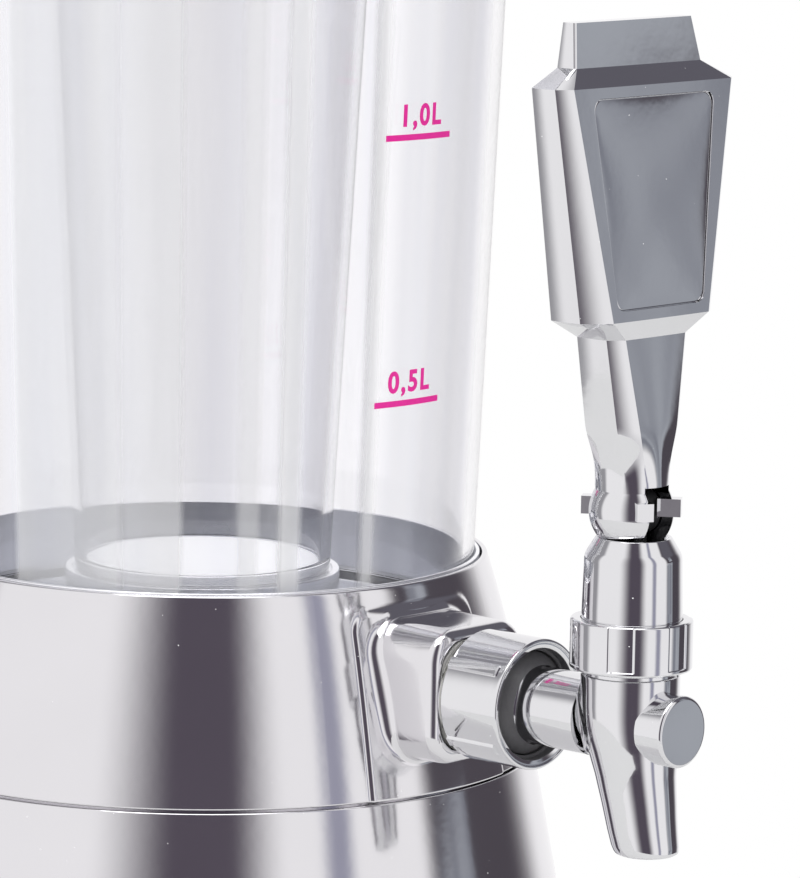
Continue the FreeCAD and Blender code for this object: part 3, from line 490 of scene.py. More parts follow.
def steel(name):
    """Bright zinc-plated steel with fine turning marks."""
    material = bpy.data.materials.new(name)
    material.use_nodes = True
    tree = material.node_tree
    shader = tree.nodes["Principled BSDF"]
    shader.inputs["Metallic"].default_value = 1.0
    spot = added(tree, "ShaderNodeTexCoord").outputs["Object"]
    marks = added(tree, "ShaderNodeTexNoise")
    marks.inputs["Scale"].default_value = 800.0
    tree.links.new(spot, marks.inputs["Vector"])
    metal = mixed(tree, marks.outputs[0], (0.52, 0.52, 0.54), (0.68, 0.68, 0.70))
    tree.links.new(metal, shader.inputs["Base Color"])
    shade = calculated(tree, "MULTIPLY_ADD", marks.outputs[0], 0.15, 0.2)
    tree.links.new(shade, shader.inputs["Roughness"])
    return material


def screw_shape(name, length):
    """One screw standing on its head: pan head with a round socket, ridged shank and point."""
    outline = [(0.0, 1.3), (1.5, 1.3), (1.5, 0.0)]
    outline += softened([(1.5, 0.0, 0), (3.6, 0.0, 1.4), (3.6, 2.3, 0.3), (1.6, 2.3, 0)])[1:]
    ridges = int((length - 2.6) / 1.2)
    for count in range(ridges):
        z = 2.3 + 0.8 + 1.2 * count
        outline += [(1.45, z), (1.9, z + 0.5), (1.45, z + 1.0)]
    outline += [(1.45, 2.3 + length - 1.4), (0.0, 2.3 + length)]
    return turned(name, outline, steps=24)


def screw_circle(name, circle, first_angle, head_z, length, stands_for):
    """Four screws on a circle about the tower, placed by Geometry Nodes and made a plain mesh."""
    one = screw_shape(name + "_one", length)
    tree = bpy.data.node_groups.new(name, "GeometryNodeTree")
    tree.interface.new_socket("Geometry", in_out="INPUT", socket_type="NodeSocketGeometry")
    for label, kind in (("Screw", "NodeSocketObject"), ("Circle Radius", "NodeSocketFloat"),
                        ("Count", "NodeSocketInt"), ("First Angle", "NodeSocketFloat"),
                        ("Head Height", "NodeSocketFloat")):
        tree.interface.new_socket(label, in_out="INPUT", socket_type=kind)
    tree.interface.new_socket("Geometry", in_out="OUTPUT", socket_type="NodeSocketGeometry")
    given = tree.nodes.new("NodeGroupInput")
    circle_points = added(tree, "GeometryNodeMeshCircle")
    tree.links.new(given.outputs["Count"], circle_points.inputs["Vertices"])
    tree.links.new(given.outputs["Circle Radius"], circle_points.inputs["Radius"])
    angle_vector = added(tree, "ShaderNodeCombineXYZ")
    tree.links.new(given.outputs["First Angle"], angle_vector.inputs["Z"])
    height_vector = added(tree, "ShaderNodeCombineXYZ")
    tree.links.new(given.outputs["Head Height"], height_vector.inputs["Z"])
    laid = added(tree, "GeometryNodeTransform")
    tree.links.new(circle_points.outputs[0], laid.inputs["Geometry"])
    tree.links.new(angle_vector.outputs[0], laid.inputs["Rotation"])
    tree.links.new(height_vector.outputs[0], laid.inputs["Translation"])
    shape = added(tree, "GeometryNodeObjectInfo")
    tree.links.new(given.outputs["Screw"], shape.inputs["Object"])
    copies = added(tree, "GeometryNodeInstanceOnPoints")
    tree.links.new(laid.outputs[0], copies.inputs["Points"])
    tree.links.new(shape.outputs["Geometry"], copies.inputs["Instance"])
    solid = added(tree, "GeometryNodeRealizeInstances")
    tree.links.new(copies.outputs[0], solid.inputs[0])
    painted = added(tree, "GeometryNodeSetMaterial")
    painted.inputs["Material"].default_value = zinc
    tree.links.new(solid.outputs[0], painted.inputs["Geometry"])
    tree.links.new(painted.outputs[0], tree.nodes.new("NodeGroupOutput").inputs[0])
    carrier = bpy.data.objects.new(name, bpy.data.meshes.new(name))
    bpy.context.scene.collection.objects.link(carrier)
    modifier = carrier.modifiers.new("circle", "NODES")
    modifier.node_group = tree
    wanted = {"Screw": one, "Circle Radius": circle * MM, "Count": 4,
              "First Angle": radians(first_angle), "Head Height": head_z * MM}
    for item in tree.interface.items_tree:
        if item.in_out == "INPUT" and item.name in wanted:
            modifier[item.identifier] = wanted[item.name]
    plain = bpy.data.meshes.new_from_object(carrier.evaluated_get(bpy.context.evaluated_depsgraph_get()))
    carrier.modifiers.clear()
    carrier.data = plain
    bpy.data.objects.remove(one)
    dressed(carrier, zinc, "tower", stands_for, slot="steel")


zinc = steel("zinc_plated_steel")
screw_circle("plate_screw_circle", plate_post_circle, 45.0, 2.4, 14.0, "plate_screws")
screw_circle("ballast_screw_circle", 45.0, 0.0, 2.4, 9.0, "ballast_screws")
screw_circle("housing_screw_circle", 61.0, 0.0, deck_under - 2.3, 7.5, "housing_screws")
screw_circle("bowl_screw_circle", bowl_post_circle, 45.0, deck_under - 2.3, 13.5, "bowl_screws")

# Collar
# The silver ring on top of the base, which holds the bowl and carries the tap. Round its square boss the
# mould has a shallow raised field with soft edges, and the boss grows out of it in a wide fillet.

rim_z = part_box("tap_housing")[1].z / MM
shank_z = (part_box("coupling_nut")[0].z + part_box("coupling_nut")[1].z) / 2 / MM
boss_reach = -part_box("tap_housing")[0].y / MM
lip_radius = 58.0
bore_radius = 11.65
collar_line = [(rim_z, lip_radius), (rim_z - 13.8, 62.1), (rim_z - 26.9, 65.4), (seam_z, seam_radius)]
field_half_angle = radians(16.3)
field_top = rim_z - 4.1
field_rise = 0.5
field_corner = 4.0


def collar_radius(z):
    """Radius of the collar at a height, on the cubic through its four measured places."""
    total = 0.0
    for z1, r1 in collar_line:
        term = r1
        for z2, r2 in collar_line:
            if z2 != z1:
                term *= (z - z2) / (z1 - z2)
        total += term
    return total


def field_height(angle, z):
    """How far the raised field stands out at a place on the collar."""
    angle = (angle + pi) % (2 * pi) - pi
    across = (abs(angle) - field_half_angle) * collar_radius(z) + field_corner
    up = z - field_top + field_corner
    edge = hypot(max(across, 0.0), max(up, 0.0)) + min(max(across, up), 0.0) - field_corner
    share = min(1.0, max(0.0, 0.5 - edge / 1.0))
    return field_rise * share * share * (3 - 2 * share)


def on_collar(r, angle, z):
    """Place on the collar; points of its outer face also follow the raised field."""
    if r > collar_radius(min(z, rim_z)) - 0.4:
        r += field_height(angle, z)
    return upright(r, angle, z)


def collar_reach(x, z):
    """Reach of the collar's face, raised field included, at a place beside the tap's line."""
    radius = collar_radius(z)
    radius += field_height(atan2(x, radius), z)
    return sqrt(max(radius * radius - x * x, 0.0))


face_height = rim_z - 1.0 - seam_z - 0.5
outer_face = []
for k in range(65):
    z = seam_z + 0.5 + face_height * k / 64
    outer_face.append((collar_radius(z), z))
collar_outline = softened([
    (seam_radius - 2.5, seam_z, 0), (seam_radius, seam_z, 0.4), outer_face[0] + (0,)])[:-1]
collar_outline += outer_face
collar_outline += softened([
    outer_face[-1] + (0,), (lip_radius, rim_z, 0.45), (57.0, rim_z, 0.25), (57.0, rim_z - 13.8, 0),
    (seam_radius - 2.5, seam_z + 3.5, 0), (58.3, seam_z + 3.5, 0), (58.3, seam_z, 0)])[1:]
fine = [radians(0.3 * k) for k in range(-80, 81)]
coarse = [radians(24.0 + 312.0 * k / 260) for k in range(1, 260)]
collar = turned("collar", collar_outline, place=on_collar, angles=fine + coarse)


def rounded_square(half, corner, reach):
    """Ring of points round the boss, square to the shank's axis."""
    ring = []
    for quarter in range(4):
        turn = pi / 2 * quarter
        flat = half - corner
        local = [(half, -flat + 2 * flat * k / 10) for k in range(10)]
        for k in range(12):
            bend = pi / 2 * k / 12
            local.append((flat + corner * cos(bend), flat + corner * sin(bend)))
        for a, b in local:
            ring.append((a * cos(turn) - b * sin(turn), a * sin(turn) + b * cos(turn), reach))
    return ring


def boss_side(reach):
    """Half size and corner of the boss at a reach: its mould has a few degrees of draft."""
    back = boss_reach - reach
    return 13.2 + 0.03 * back, 6.2 + 0.05 * back


def lying(points):
    """Points given as across, height from the shank's axis, and reach, set in the row frame."""
    return [Vector((x, -reach, shank_z + z)) * MM for x, z, reach in points]


def fillet_column(start, crease, end, normal):
    """Points across a fillet, which leaves one surface at start and lands flush on the other at end."""
    inward = crease - end
    inward -= normal * inward.dot(normal)
    handle_start = start + (crease - start) * 0.6
    handle_end = end + inward * 0.6
    column = []
    for k in range(13):
        t = k / 12
        column.append(start * (1 - t) ** 3 + handle_start * 3 * t * (1 - t) ** 2
                      + handle_end * 3 * t * t * (1 - t) + end * t ** 3)
    column.append(end - normal * 0.25)
    column.append(crease - normal * 0.8)
    return column


root_reach = 57.6
boss_rings = [[(bore_radius * x / hypot(x, z), bore_radius * z / hypot(x, z), reach)
               for x, z, w in rounded_square(13.0, 5.0, 0.0)] for reach in (root_reach, boss_reach - 0.3)]
boss_rings.append([(1.03 * x, 1.03 * z, boss_reach) for x, z, w in boss_rings[-1]])
edge_round = 2.3
for k in range(9):
    turn = pi / 2 * k / 8
    reach = boss_reach - edge_round * (1 - cos(turn))
    half, corner = boss_side(boss_reach - edge_round)
    inset = edge_round * (1 - sin(turn))
    boss_rings.append(rounded_square(half - inset, corner - inset, reach))
for k in range(1, 9):
    reach = boss_reach - edge_round - (boss_reach - edge_round - root_reach) * k / 8
    boss_rings.append(rounded_square(*boss_side(reach), reach))
boss = lofted("boss", [lying(ring) for ring in boss_rings])

# The fillet between boss and collar leaves the boss's side and lands on the collar, flush with both.

strip = []
sample = rounded_square(*boss_side(66.0), 66.0)
for index in range(len(sample)):
    meet = 62.0
    for step in range(30):
        x, z, w = rounded_square(*boss_side(meet), meet)[index]
        meet = collar_reach(x, z + shank_z)
    half, corner = boss_side(meet)
    x, z, w = rounded_square(half, corner, meet)[index]
    fillet_leg = 1.0 + 1.6 * (x / hypot(x, z)) ** 2
    crease = Vector((x, z, meet))
    start = Vector(rounded_square(*boss_side(meet + fillet_leg), meet + fillet_leg)[index])
    x, z, w = rounded_square(half + fillet_leg, corner + fillet_leg, meet)[index]
    z = min(z, rim_z - 1.0 - shank_z)
    end = Vector((x, z, collar_reach(x, z + shank_z)))
    slope_x = (collar_reach(x + 0.2, z + shank_z) - collar_reach(x - 0.2, z + shank_z)) / 0.4
    slope_z = (collar_reach(x, z + shank_z + 0.2) - collar_reach(x, z + shank_z - 0.2)) / 0.4
    normal = Vector((-slope_x, -slope_z, 1.0)).normalized()
    strip.append(fillet_column(start, crease, end, normal))
boss_fillet = lofted("boss_fillet", [lying(ring) for ring in zip(*strip)])
housing = joined("collar_visual", [collar, boss, boss_fillet])
dressed(housing, silver, "tower", "tap_housing", slot="silver_plastic")

# Reservoir bowl
# The silver bowl inside the collar closes the reservoir. Its thin lip stands round the clear tube, a pedestal
# in its middle takes the foot of the ice tube, and a short port leads to the tap.

bowl_outline = softened([
    (56.51, 181.5, 0), (56.51, rim_z + 0.3, 0.3), (55.71, rim_z + 0.3, 0.3), (55.71, 196.0, 0),
    (51.51, 196.0, 0.3), (51.51, 184.0, 1.0), (27.98, 184.0, 1.0), (27.98, 206.2, 0.3), (26.38, 206.2, 0.3),
    (26.38, 205.6, 0)])
bowl_outline += [(0.0, 205.6), (0.0, 203.6), (25.98, 203.6), (25.98, 181.5)]
bowl_parts = [turned("bowl", bowl_outline, steps=320)]
for angle in (45.0, 135.0, 225.0, 315.0):
    bowl_parts.append(screw_post(bowl_post_circle, angle, 175.2, 182.0, 0))


def along_shank(r, angle, reach):
    """Place of a point on a shape that is turned about the shank's axis."""
    return Vector((r * sin(angle), -reach, shank_z + r * cos(angle))) * MM


port_outline = [(8.1, 55.5), (10.5, 55.5), (10.5, 62.0), (8.1, 62.0)]
bowl_parts.append(turned("port", port_outline, place=along_shank, steps=96))
bowl = joined("bowl_visual", bowl_parts)

# The bowl glows a little: it stands for the light that reaches it through the clear walls.

satin_silver = plated("satin_silver_plating", (0.96, 0.96, 0.98), 0.24, 0.10, 0.03)
satin_shader = satin_silver.node_tree.nodes["Principled BSDF"]
satin_shader.inputs["Emission Color"].default_value = (0.90, 0.92, 1.0, 1.0)
satin_shader.inputs["Emission Strength"].default_value = 0.10
dressed(bowl, satin_silver, "tower", "reservoir_bowl", slot="silver_plastic")

# Clear tubes
# The reservoir tube and the closed ice tube inside it are moulded in clear plastic, with a slight taper and
# faint streaks along them. Whiter bands on the reservoir tube are painted reflections of the light screens
# that it mirrors.
# The ice tube's floor is frosted, and it glows: painted light that stands for what the clear walls carry down
# to it.


def clear(name, tint, deeper, bands=()):
    """Clear plastic with faint streaks along it, and bands of painted reflection, each (first angle, last
    angle, strength).
    """
    material = bpy.data.materials.new(name)
    material.use_nodes = True
    tree = material.node_tree
    shader = tree.nodes["Principled BSDF"]
    shader.inputs["Transmission Weight"].default_value = 1.0
    shader.inputs["IOR"].default_value = 1.46
    spot = added(tree, "ShaderNodeTexCoord").outputs["Object"]
    along = added(tree, "ShaderNodeMapping")
    along.inputs["Scale"].default_value = (90.0, 90.0, 2.0)
    tree.links.new(spot, along.inputs["Vector"])
    streaks = added(tree, "ShaderNodeTexNoise")
    streaks.inputs["Scale"].default_value = 1.0
    streaks.inputs["Detail"].default_value = 3.0
    tree.links.new(along.outputs[0], streaks.inputs["Vector"])
    streaked = ramped(tree, streaks.outputs[0], 0.42, 0.68)
    tree.links.new(mixed(tree, streaked, tint, deeper), shader.inputs["Base Color"])
    haze = calculated(tree, "MULTIPLY_ADD", streaks.outputs[0], 0.02, 0.004)
    tree.links.new(haze, shader.inputs["Roughness"])
    if bands:
        parted = added(tree, "ShaderNodeSeparateXYZ")
        tree.links.new(spot, parted.inputs[0])
        to_tap = calculated(tree, "MULTIPLY", parted.outputs["Y"], -1.0)
        round_the_tube = share_of_turn(tree, parted.outputs["X"], to_tap)
        # Each band is a painted reflection: it lowers the transmission, so the plastic turns white there.
        painted_sheens = [(first - 0.5, first, last, last + 0.5, (1 - painted_reflection,) * 3) for first, last, painted_reflection in bands]
        painted_sheen = banded(tree, round_the_tube, (1.0, 1.0, 1.0), painted_sheens, "LINEAR")
        tree.links.new(painted_sheen, shader.inputs["Transmission Weight"])
    return material


def tube_radius(z):
    """Outer radius of the reservoir tube at a height."""
    return 55.4 + 0.0381 * (z - rim_z)


def ice_radius(z):
    """Outer radius of the ice tube at a height."""
    return 26.2 + 0.0505 * (z - rim_z)


tube_foot, tube_top = (corner.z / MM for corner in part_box("reservoir_tube"))
ice_foot, ice_top = (corner.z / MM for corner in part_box("ice_tube"))
lid_top = ice_top - 2.5
tube_wall = 2.2
ice_wall = 2.0
ice_floor = ice_foot + 2.3
# Painted reflections on the reservoir tube, each (first angle, last angle, strength).
painted_reflection_bands = [
    (-86.0, -62.0, 0.34), (-61.0, -50.0, 0.30), (-38.8, -35.2, 0.26), (-30.5, -26.0, 0.40),
    (-11.9, -8.9, 0.40)]
reservoir_clear = clear("clear_plastic", (0.985, 0.985, 0.995), (0.93, 0.935, 0.965), painted_reflection_bands)
tube_outline = softened([
    (tube_radius(tube_foot), tube_foot, 0.3), (tube_radius(tube_top), tube_top, 0.6),
    (tube_radius(tube_top) - tube_wall, tube_top, 0.6),
    (tube_radius(tube_foot) - tube_wall, tube_foot, 0.3)])
tube = turned("reservoir_tube_visual", tube_outline, steps=320)
dressed(tube, reservoir_clear, "tube", "reservoir_tube", slot="clear_plastic")

ice_clear = clear("clear_plastic_ice_tube", (0.996, 0.996, 0.998), (0.955, 0.955, 0.975))
ice_outline = [(0.0, ice_foot)] + softened([
    (0.0, ice_foot, 0), (ice_radius(ice_foot), ice_foot, 1.2), (ice_radius(lid_top), lid_top, 0.4),
    (ice_radius(lid_top) + 4.0, lid_top, 0.3), (ice_radius(ice_top) + 4.0, ice_top, 0.5),
    (ice_radius(ice_top) - ice_wall, ice_top, 0.5), (ice_radius(ice_floor) - ice_wall, ice_floor, 1.0),
    (0.0, ice_floor, 0)])[1:]
ice_tube = turned("ice_tube_visual", ice_outline, steps=256)
dressed(ice_tube, ice_clear, "ice_insert", "ice_tube", slot="clear_plastic")

frost = moulded("frosted_floor", (0.88, 0.88, 0.90), 0.5, 500.0, 0.00002)
frost_shader = frost.node_tree.nodes["Principled BSDF"]
# The glow is painted light, for the light that the clear walls bring down to the floor.
frost_shader.inputs["Emission Color"].default_value = (0.95, 0.95, 0.97, 1.0)
frost_shader.inputs["Emission Strength"].default_value = 0.9
frost_radius = ice_radius(ice_floor) - ice_wall - 0.4
frost_foot = ice_floor + 0.05
frost_top = ice_floor + 0.15
frost_outline = [(0.0, frost_foot), (frost_radius, frost_foot), (frost_radius, frost_top), (0.0, frost_top)]
frosted_floor = turned("ice_tube_frosted_floor", frost_outline, steps=128)
dressed(frosted_floor, frost, "ice_insert", slot="clear_plastic")

# Volume marks
# Each half litre has a short bar and its figure above it, screen printed in magenta on the tube's outside.


def wrapped(mesh, angle, z):
    """Bends a flat mesh (in metres, x across, y up) round the reservoir tube."""
    for vertex in mesh.vertices:
        across, up, out = vertex.co
        height = z + up / MM
        radius = tube_radius(height) + 0.02 + out / MM
        vertex.co = upright(radius, angle + across / MM / radius, height)


magenta = moulded("magenta_ink", (0.84, 0.006, 0.32), 0.4, 1500.0, 0.00001)
bar_length = 18.1
bar_height = 1.2
figure_rise = 2.3
marks = []
mark_angle = radians(-0.9)
mark_heights = [(0.5, 35.9), (1.0, 88.2), (1.5, 136.0), (2.0, 181.0), (2.5, 223.0), (3.0, 264.0)]
for litres, height in mark_heights:
    bar = bmesh.new()
    bmesh.ops.create_grid(bar, x_segments=24, y_segments=1, size=0.5)
    for vertex in bar.verts:
        vertex.co = (vertex.co.x * bar_length * MM, vertex.co.y * bar_height * MM, 0.0)
    flat = bmesh.ops.extrude_face_region(bar, geom=bar.faces[:])
    for vertex in (item for item in flat["geom"] if isinstance(item, bmesh.types.BMVert)):
        vertex.co.z += 0.00004
    bar_obj = from_bmesh("bar", bar)
    wrapped(bar_obj.data, mark_angle, rim_z + height)
    figure = bpy.data.curves.new("figure", "FONT")
    figure.body = f"{litres:.1f}L".replace(".", ",")
    figure.size = 0.0058
    figure.offset = 0.0002
    figure.space_character = 1.2
    figure.extrude = 0.00002
    figure.align_x = "CENTER"
    figure.resolution_u = 4
    carrier = bpy.data.objects.new("figure", figure)
    bpy.context.scene.collection.objects.link(carrier)
    bpy.context.view_layer.update()
    shape = bpy.data.meshes.new_from_object(carrier.evaluated_get(bpy.context.evaluated_depsgraph_get()))
    bpy.data.objects.remove(carrier)
    for vertex in shape.vertices:
        vertex.co.z += 0.00002
    wrapped(shape, mark_angle, rim_z + height + figure_rise)
    figure_obj = bpy.data.objects.new("figure", shape)
    bpy.context.scene.collection.objects.link(figure_obj)
    marks += [bar_obj, figure_obj]
marks = joined("volume_marks", marks)
dressed(marks, magenta, "tube")

# Lid and ice tube cap
# Both are silver mouldings that lift off: the lid sits on the tube with a skirt and a ring inside it, and the
# cap closes the ice tube with a plug and a waisted knob.

lid_under = tube_top
skirt_in = tube_radius(tube_top) + 0.3
skirt_out = skirt_in + 1.8
skirt_foot = lid_under - 11.0
ring_out = tube_radius(tube_top - 6.0) - tube_wall - 0.3
ring_in = ring_out - 1.8
lid_ring_foot = lid_under - 6.0
lid_hole = ice_radius(lid_top) + 0.3
lid_panel = lid_top - 0.7
lid_outline = softened([
    (lid_hole, lid_under, 0), (lid_hole, lid_top, 0.5), (lid_hole + 7.0, lid_top, 0.8),
    (lid_hole + 8.5, lid_panel, 0.8), (skirt_in - 5.0, lid_panel, 0.8), (skirt_in - 3.6, lid_top, 0.8),
    (skirt_out, lid_top, 1.5), (skirt_out, skirt_foot, 0.5), (skirt_in, skirt_foot, 0.3),
    (skirt_in, lid_under, 0), (ring_out, lid_under, 0), (ring_out, lid_ring_foot, 0.4),
    (ring_in, lid_ring_foot, 0.4), (ring_in, lid_under, 0)])
lid = turned("lid_visual", lid_outline, steps=320)
dressed(lid, silver, "lid", "tower_lid", slot="silver_plastic")

cap_top = ice_top + 3.0
knob_top = cap_top + 15.0
cap_edge = ice_radius(lid_top) + 5.0
plug_foot = ice_top - 7.0
plug_out = ice_radius(plug_foot) - ice_wall - 0.3
plug_in = plug_out - 2.0
cap_outline = [(0.0, ice_top)] + softened([
    (0.0, ice_top, 0), (plug_in, ice_top, 0), (plug_in, plug_foot, 0.4), (plug_out, plug_foot, 0.4),
    (plug_out, ice_top, 0), (cap_edge, ice_top, 0.3), (cap_edge, cap_top, 1.2), (8.0, cap_top, 1.5),
    (7.4, cap_top + 6.0, 6.0), (11.0, cap_top + 11.0, 1.5), (11.0, knob_top, 2.6), (0.0, knob_top, 0)])[1:]
cap = turned("ice_tube_cap_visual", cap_outline, steps=192)
dressed(cap, silver, "ice_cap", "ice_tube_cap", slot="silver_plastic")

# Outlet
# A natural plastic nipple screwed into the bowl's port leads to the tap, with a silicone seal behind it and a
# rubber gasket before the shank. These stay as CAD solids.

natural_plastic = moulded("natural_plastic", (0.78, 0.78, 0.73), 0.45, 700.0, 0.00003)
grey_silicone = moulded("grey_silicone", (0.42, 0.42, 0.43), 0.6, 600.0, 0.00004)
finish(grey_silicone, "grey_silicone", "tube_seal", "outlet_seal")
finish(natural_plastic, "natural_plastic", "outlet_nipple", "stem_guide")
finish(black_rubber, "black_rubber", "shank_gasket", "stem_o_ring", "valve_seal")

# Coupling nut
# Chrome plated cup nut that draws the shank against the nipple, with four grip ribs that stop short of its
# rolled front edge.

chrome = plated("tap_chrome", (0.80, 0.80, 0.815), 0.05, 0.08, 0.03)
tap_reach = -(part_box("bonnet_ring")[0].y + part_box("bonnet_ring")[1].y) / 2 / MM
nut_rear = -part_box("coupling_nut")[1].y / MM
nut_front = -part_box("coupling_nut")[0].y / MM
nut_radius = 12.8
rib_angle = radians(53.0)
rib_half = radians(5.4)


def on_nut(r, angle, reach):
    """Place on the nut; its outside also follows the four ribs."""
    if r > nut_radius - 0.6 and nut_rear + 0.3 < reach < nut_front - 2.0:
        turn = (angle + pi) % (2 * pi) - pi
        near = min(abs(abs(turn) - rib_angle), abs(abs(turn) - (pi - rib_angle)))
        share = min(1.0, max(0.0, (rib_half - near) / radians(1.2)))
        r += 0.5 * share
    return along_shank(r, angle, reach)


nut_side = [(nut_radius, nut_front - 0.9), (nut_radius, nut_front - 2.0), (nut_radius, nut_front - 2.05)]
nut_side += [(nut_radius, nut_rear + 0.32), (nut_radius, nut_rear + 0.3)]
nut_outline = softened([(11.45, nut_rear, 0), (nut_radius, nut_rear, 0.25), nut_side[-1] + (0,)])[:-1]
nut_outline += nut_side[::-1]
nut_outline += softened([
    nut_side[0] + (0,), (nut_radius, nut_front, 0.45), (nut_radius - 0.75, nut_front, 0.2),
    (nut_radius - 0.75, nut_front - 0.35, 0.1), (nut_radius - 1.1, nut_front - 0.35, 0.15),
    (10.9, nut_front - 0.6, 0.2), (10.9, nut_front - 2.4, 0.3), (10.3, nut_front - 2.4, 0),
    (10.3, nut_front - 4.8, 0), (11.45, nut_front - 4.8, 0)])[1:]
nut = turned("coupling_nut_visual", nut_outline, place=on_nut, steps=360)
dressed(nut, chrome, "tower", "coupling_nut", slot="tap_chrome")
darkened = moulded("darkened_matt", (0.10, 0.098, 0.105), 0.38, 1600.0, 0.00006)


def left_darkened(obj, is_bare):
    """Makes faces of a chrome piece dark and matt, picked by their distance from the shank's axis and their
    reach.
    """
    obj.data.materials.append(darkened)
    for face in obj.data.polygons:
        across = hypot(face.center.x, face.center.z - shank_z * MM) / MM
        reach = -face.center.y / MM
        if is_bare(across, reach):
            face.material_index = 1


# The nut's inner lip round its mouth is made dark and matt.
left_darkened(nut, lambda across, reach: across < 11.3 and reach < nut_front - 0.5)

# Tap body
# Shank, barrel and bent spout are one chrome plated moulding. The shank's root is flared, and dark and matt
# where it sits in the nut's cup; the spout leans outwards and is hollow.
# Each ring of its profile is (radius, height from the collar's rim, lean).

body_profile = [
    (6.3, -3.6, 0.0), (10.1, -3.6, 0.0), (10.1, -8.4, 0.0), (8.9, -8.4, 0.0), (8.9, -9.8, 0.0),
    (9.1, -9.8, 0.0), (9.4, -9.95, 0.0), (9.5, -10.3, 0.0), (9.5, -13.0, 0.0), (9.5, -15.5, 0.0),
    (9.45, -17.5, 0.05),
    (9.32, -19.5, 0.2), (9.08, -21.8, 0.55), (8.7, -24.0, 0.95), (8.25, -26.5, 1.35), (7.8, -29.0, 1.8),
    (7.53, -31.5, 2.28), (7.27, -34.0, 2.8), (7.0, -36.8, 3.32), (6.77, -39.5, 3.85), (6.5, -42.3, 4.5),
    (6.3, -43.3, 4.8), (6.1, -43.75, 4.88), (5.7, -44.0, 4.9), (4.7, -44.0, 4.9), (4.4, -43.6, 4.85),
    (4.4, -40.0, 3.95), (4.1, -30.0, 2.0), (3.8, -26.0, 0.8), (3.8, -24.5, 0.0), (6.3, -24.5, 0.0)]
outside = body_profile[7:22]
body_rings = []
for radius, rise, lean in body_profile:
    z = rim_z + rise
    body_rings.append([upright(radius, 2 * pi * k / 160, z, axis_y=-tap_reach - lean) for k in range(160)])
barrel = lofted("barrel", body_rings)


def barrel_reach(x, z):
    """Reach of the barrel's rear side at a place beside the tap's axis."""
    rise = z - rim_z
    for (r1, z1, lean1), (r2, z2, lean2) in zip(outside, outside[1:]):
        if z2 <= rise <= z1:
            share = (z1 - rise) / (z1 - z2)
            radius = r1 + (r2 - r1) * share
            return tap_reach + lean1 + (lean2 - lean1) * share - sqrt(radius * radius - x * x)
    return tap_reach


shank_flange = nut_front - 7.0
flare_start = shank_flange + 4.2
flange_front = shank_flange + 2.2
shank_end = tap_reach - 8.2
shank_radius = 7.6
shank_leg = 0.9
flare = []
for k in range(11):
    flare.append((shank_radius + 2.4 * (1 - sin(pi / 2 * k / 10)) ** 1.5, flare_start + 5.0 * k / 10))
shank_outline = [(0.0, shank_flange)] + softened([
    (0.0, shank_flange, 0), (11.0, shank_flange, 0.3), (11.0, flange_front, 0), (10.0, flange_front, 0)])[1:]
shank_outline += flare + [(shank_radius, shank_end), (0.0, shank_end)]
shank = turned("shank", shank_outline, place=along_shank, steps=160)

shank_strip = []
for k in range(160):
    angle = 2 * pi * k / 160
    x = shank_radius * sin(angle)
    z = shank_radius * cos(angle)
    crease = Vector((x, z, barrel_reach(x, shank_z + z)))
    start = crease - Vector((0, 0, shank_leg))
    x = (shank_radius + shank_leg) * sin(angle)
    z = (shank_radius + shank_leg) * cos(angle)
    end = Vector((x, z, barrel_reach(x, shank_z + z)))
    slope_x = (barrel_reach(x + 0.1, shank_z + z) - barrel_reach(x - 0.1, shank_z + z)) / 0.2
    slope_z = (barrel_reach(x, shank_z + z + 0.1) - barrel_reach(x, shank_z + z - 0.1)) / 0.2
    shank_strip.append(fillet_column(start, crease, end, Vector((slope_x, slope_z, -1.0)).normalized()))
shank_fillet = lofted("shank_fillet", [lying(ring) for ring in zip(*shank_strip)])

tap_body = joined("tap_body_visual", [barrel, shank, shank_fillet])
dressed(tap_body, chrome, "tower", "tap_body", slot="tap_chrome")
# The shank's flange and flare, in the nut's cup, are made dark and matt.
left_darkened(tap_body, lambda across, reach: across > 7.75 and reach < flare_start + 3.2)

# Front plug
# Chrome plated plug that closes the bore through the barrel in line with the shank.

plug_face = tap_reach + 13.2
plug_outline = [(0.0, tap_reach + 6.9)] + softened([
    (0.0, tap_reach + 6.9, 0), (6.9, tap_reach + 6.9, 0), (6.9, plug_face, 0.75), (0.0, plug_face, 0)])[1:]
plug = turned("front_plug_visual", plug_outline, place=along_shank, steps=128)
dressed(plug, chrome, "tower", "front_plug", slot="tap_chrome")

# Ring and bonnet
# The grip ring screws the bonnet on the tap body. The bonnet tapers a little to a chamfered rim with a round
# seat for the lever's ball. Both are turned shapes in chrome plate.

ring_foot, ring_top = (corner.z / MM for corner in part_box("bonnet_ring"))
ring_radius = 11.7


def on_ring(r, angle, z):
    """Place on the ring; its outside also follows the six shallow grips."""
    if r > ring_radius - 0.55 and z > ring_foot + 0.9:
        near = abs((angle + pi / 6) % (pi / 3) - pi / 6)
        share = min(1.0, max(0.0, (near - radians(11.0)) / radians(1.5)))
        r -= 0.3 * (1 - share)
    return upright(r, angle, z, axis_y=-tap_reach)


ring_outline = softened([
    (10.2, ring_foot, 0), (ring_radius, ring_foot, 0.5), (ring_radius, ring_foot + 0.85, 0),
    (ring_radius, ring_foot + 1.0, 0), (ring_radius, ring_top, 0.5), (9.75, ring_top, 0.15),
    (9.75, ring_top - 1.8, 0), (10.2, ring_top - 1.8, 0)])
clamp_ring = turned("bonnet_ring_visual", ring_outline, place=on_ring, steps=360)
dressed(clamp_ring, chrome, "tower", "bonnet_ring", slot="tap_chrome")

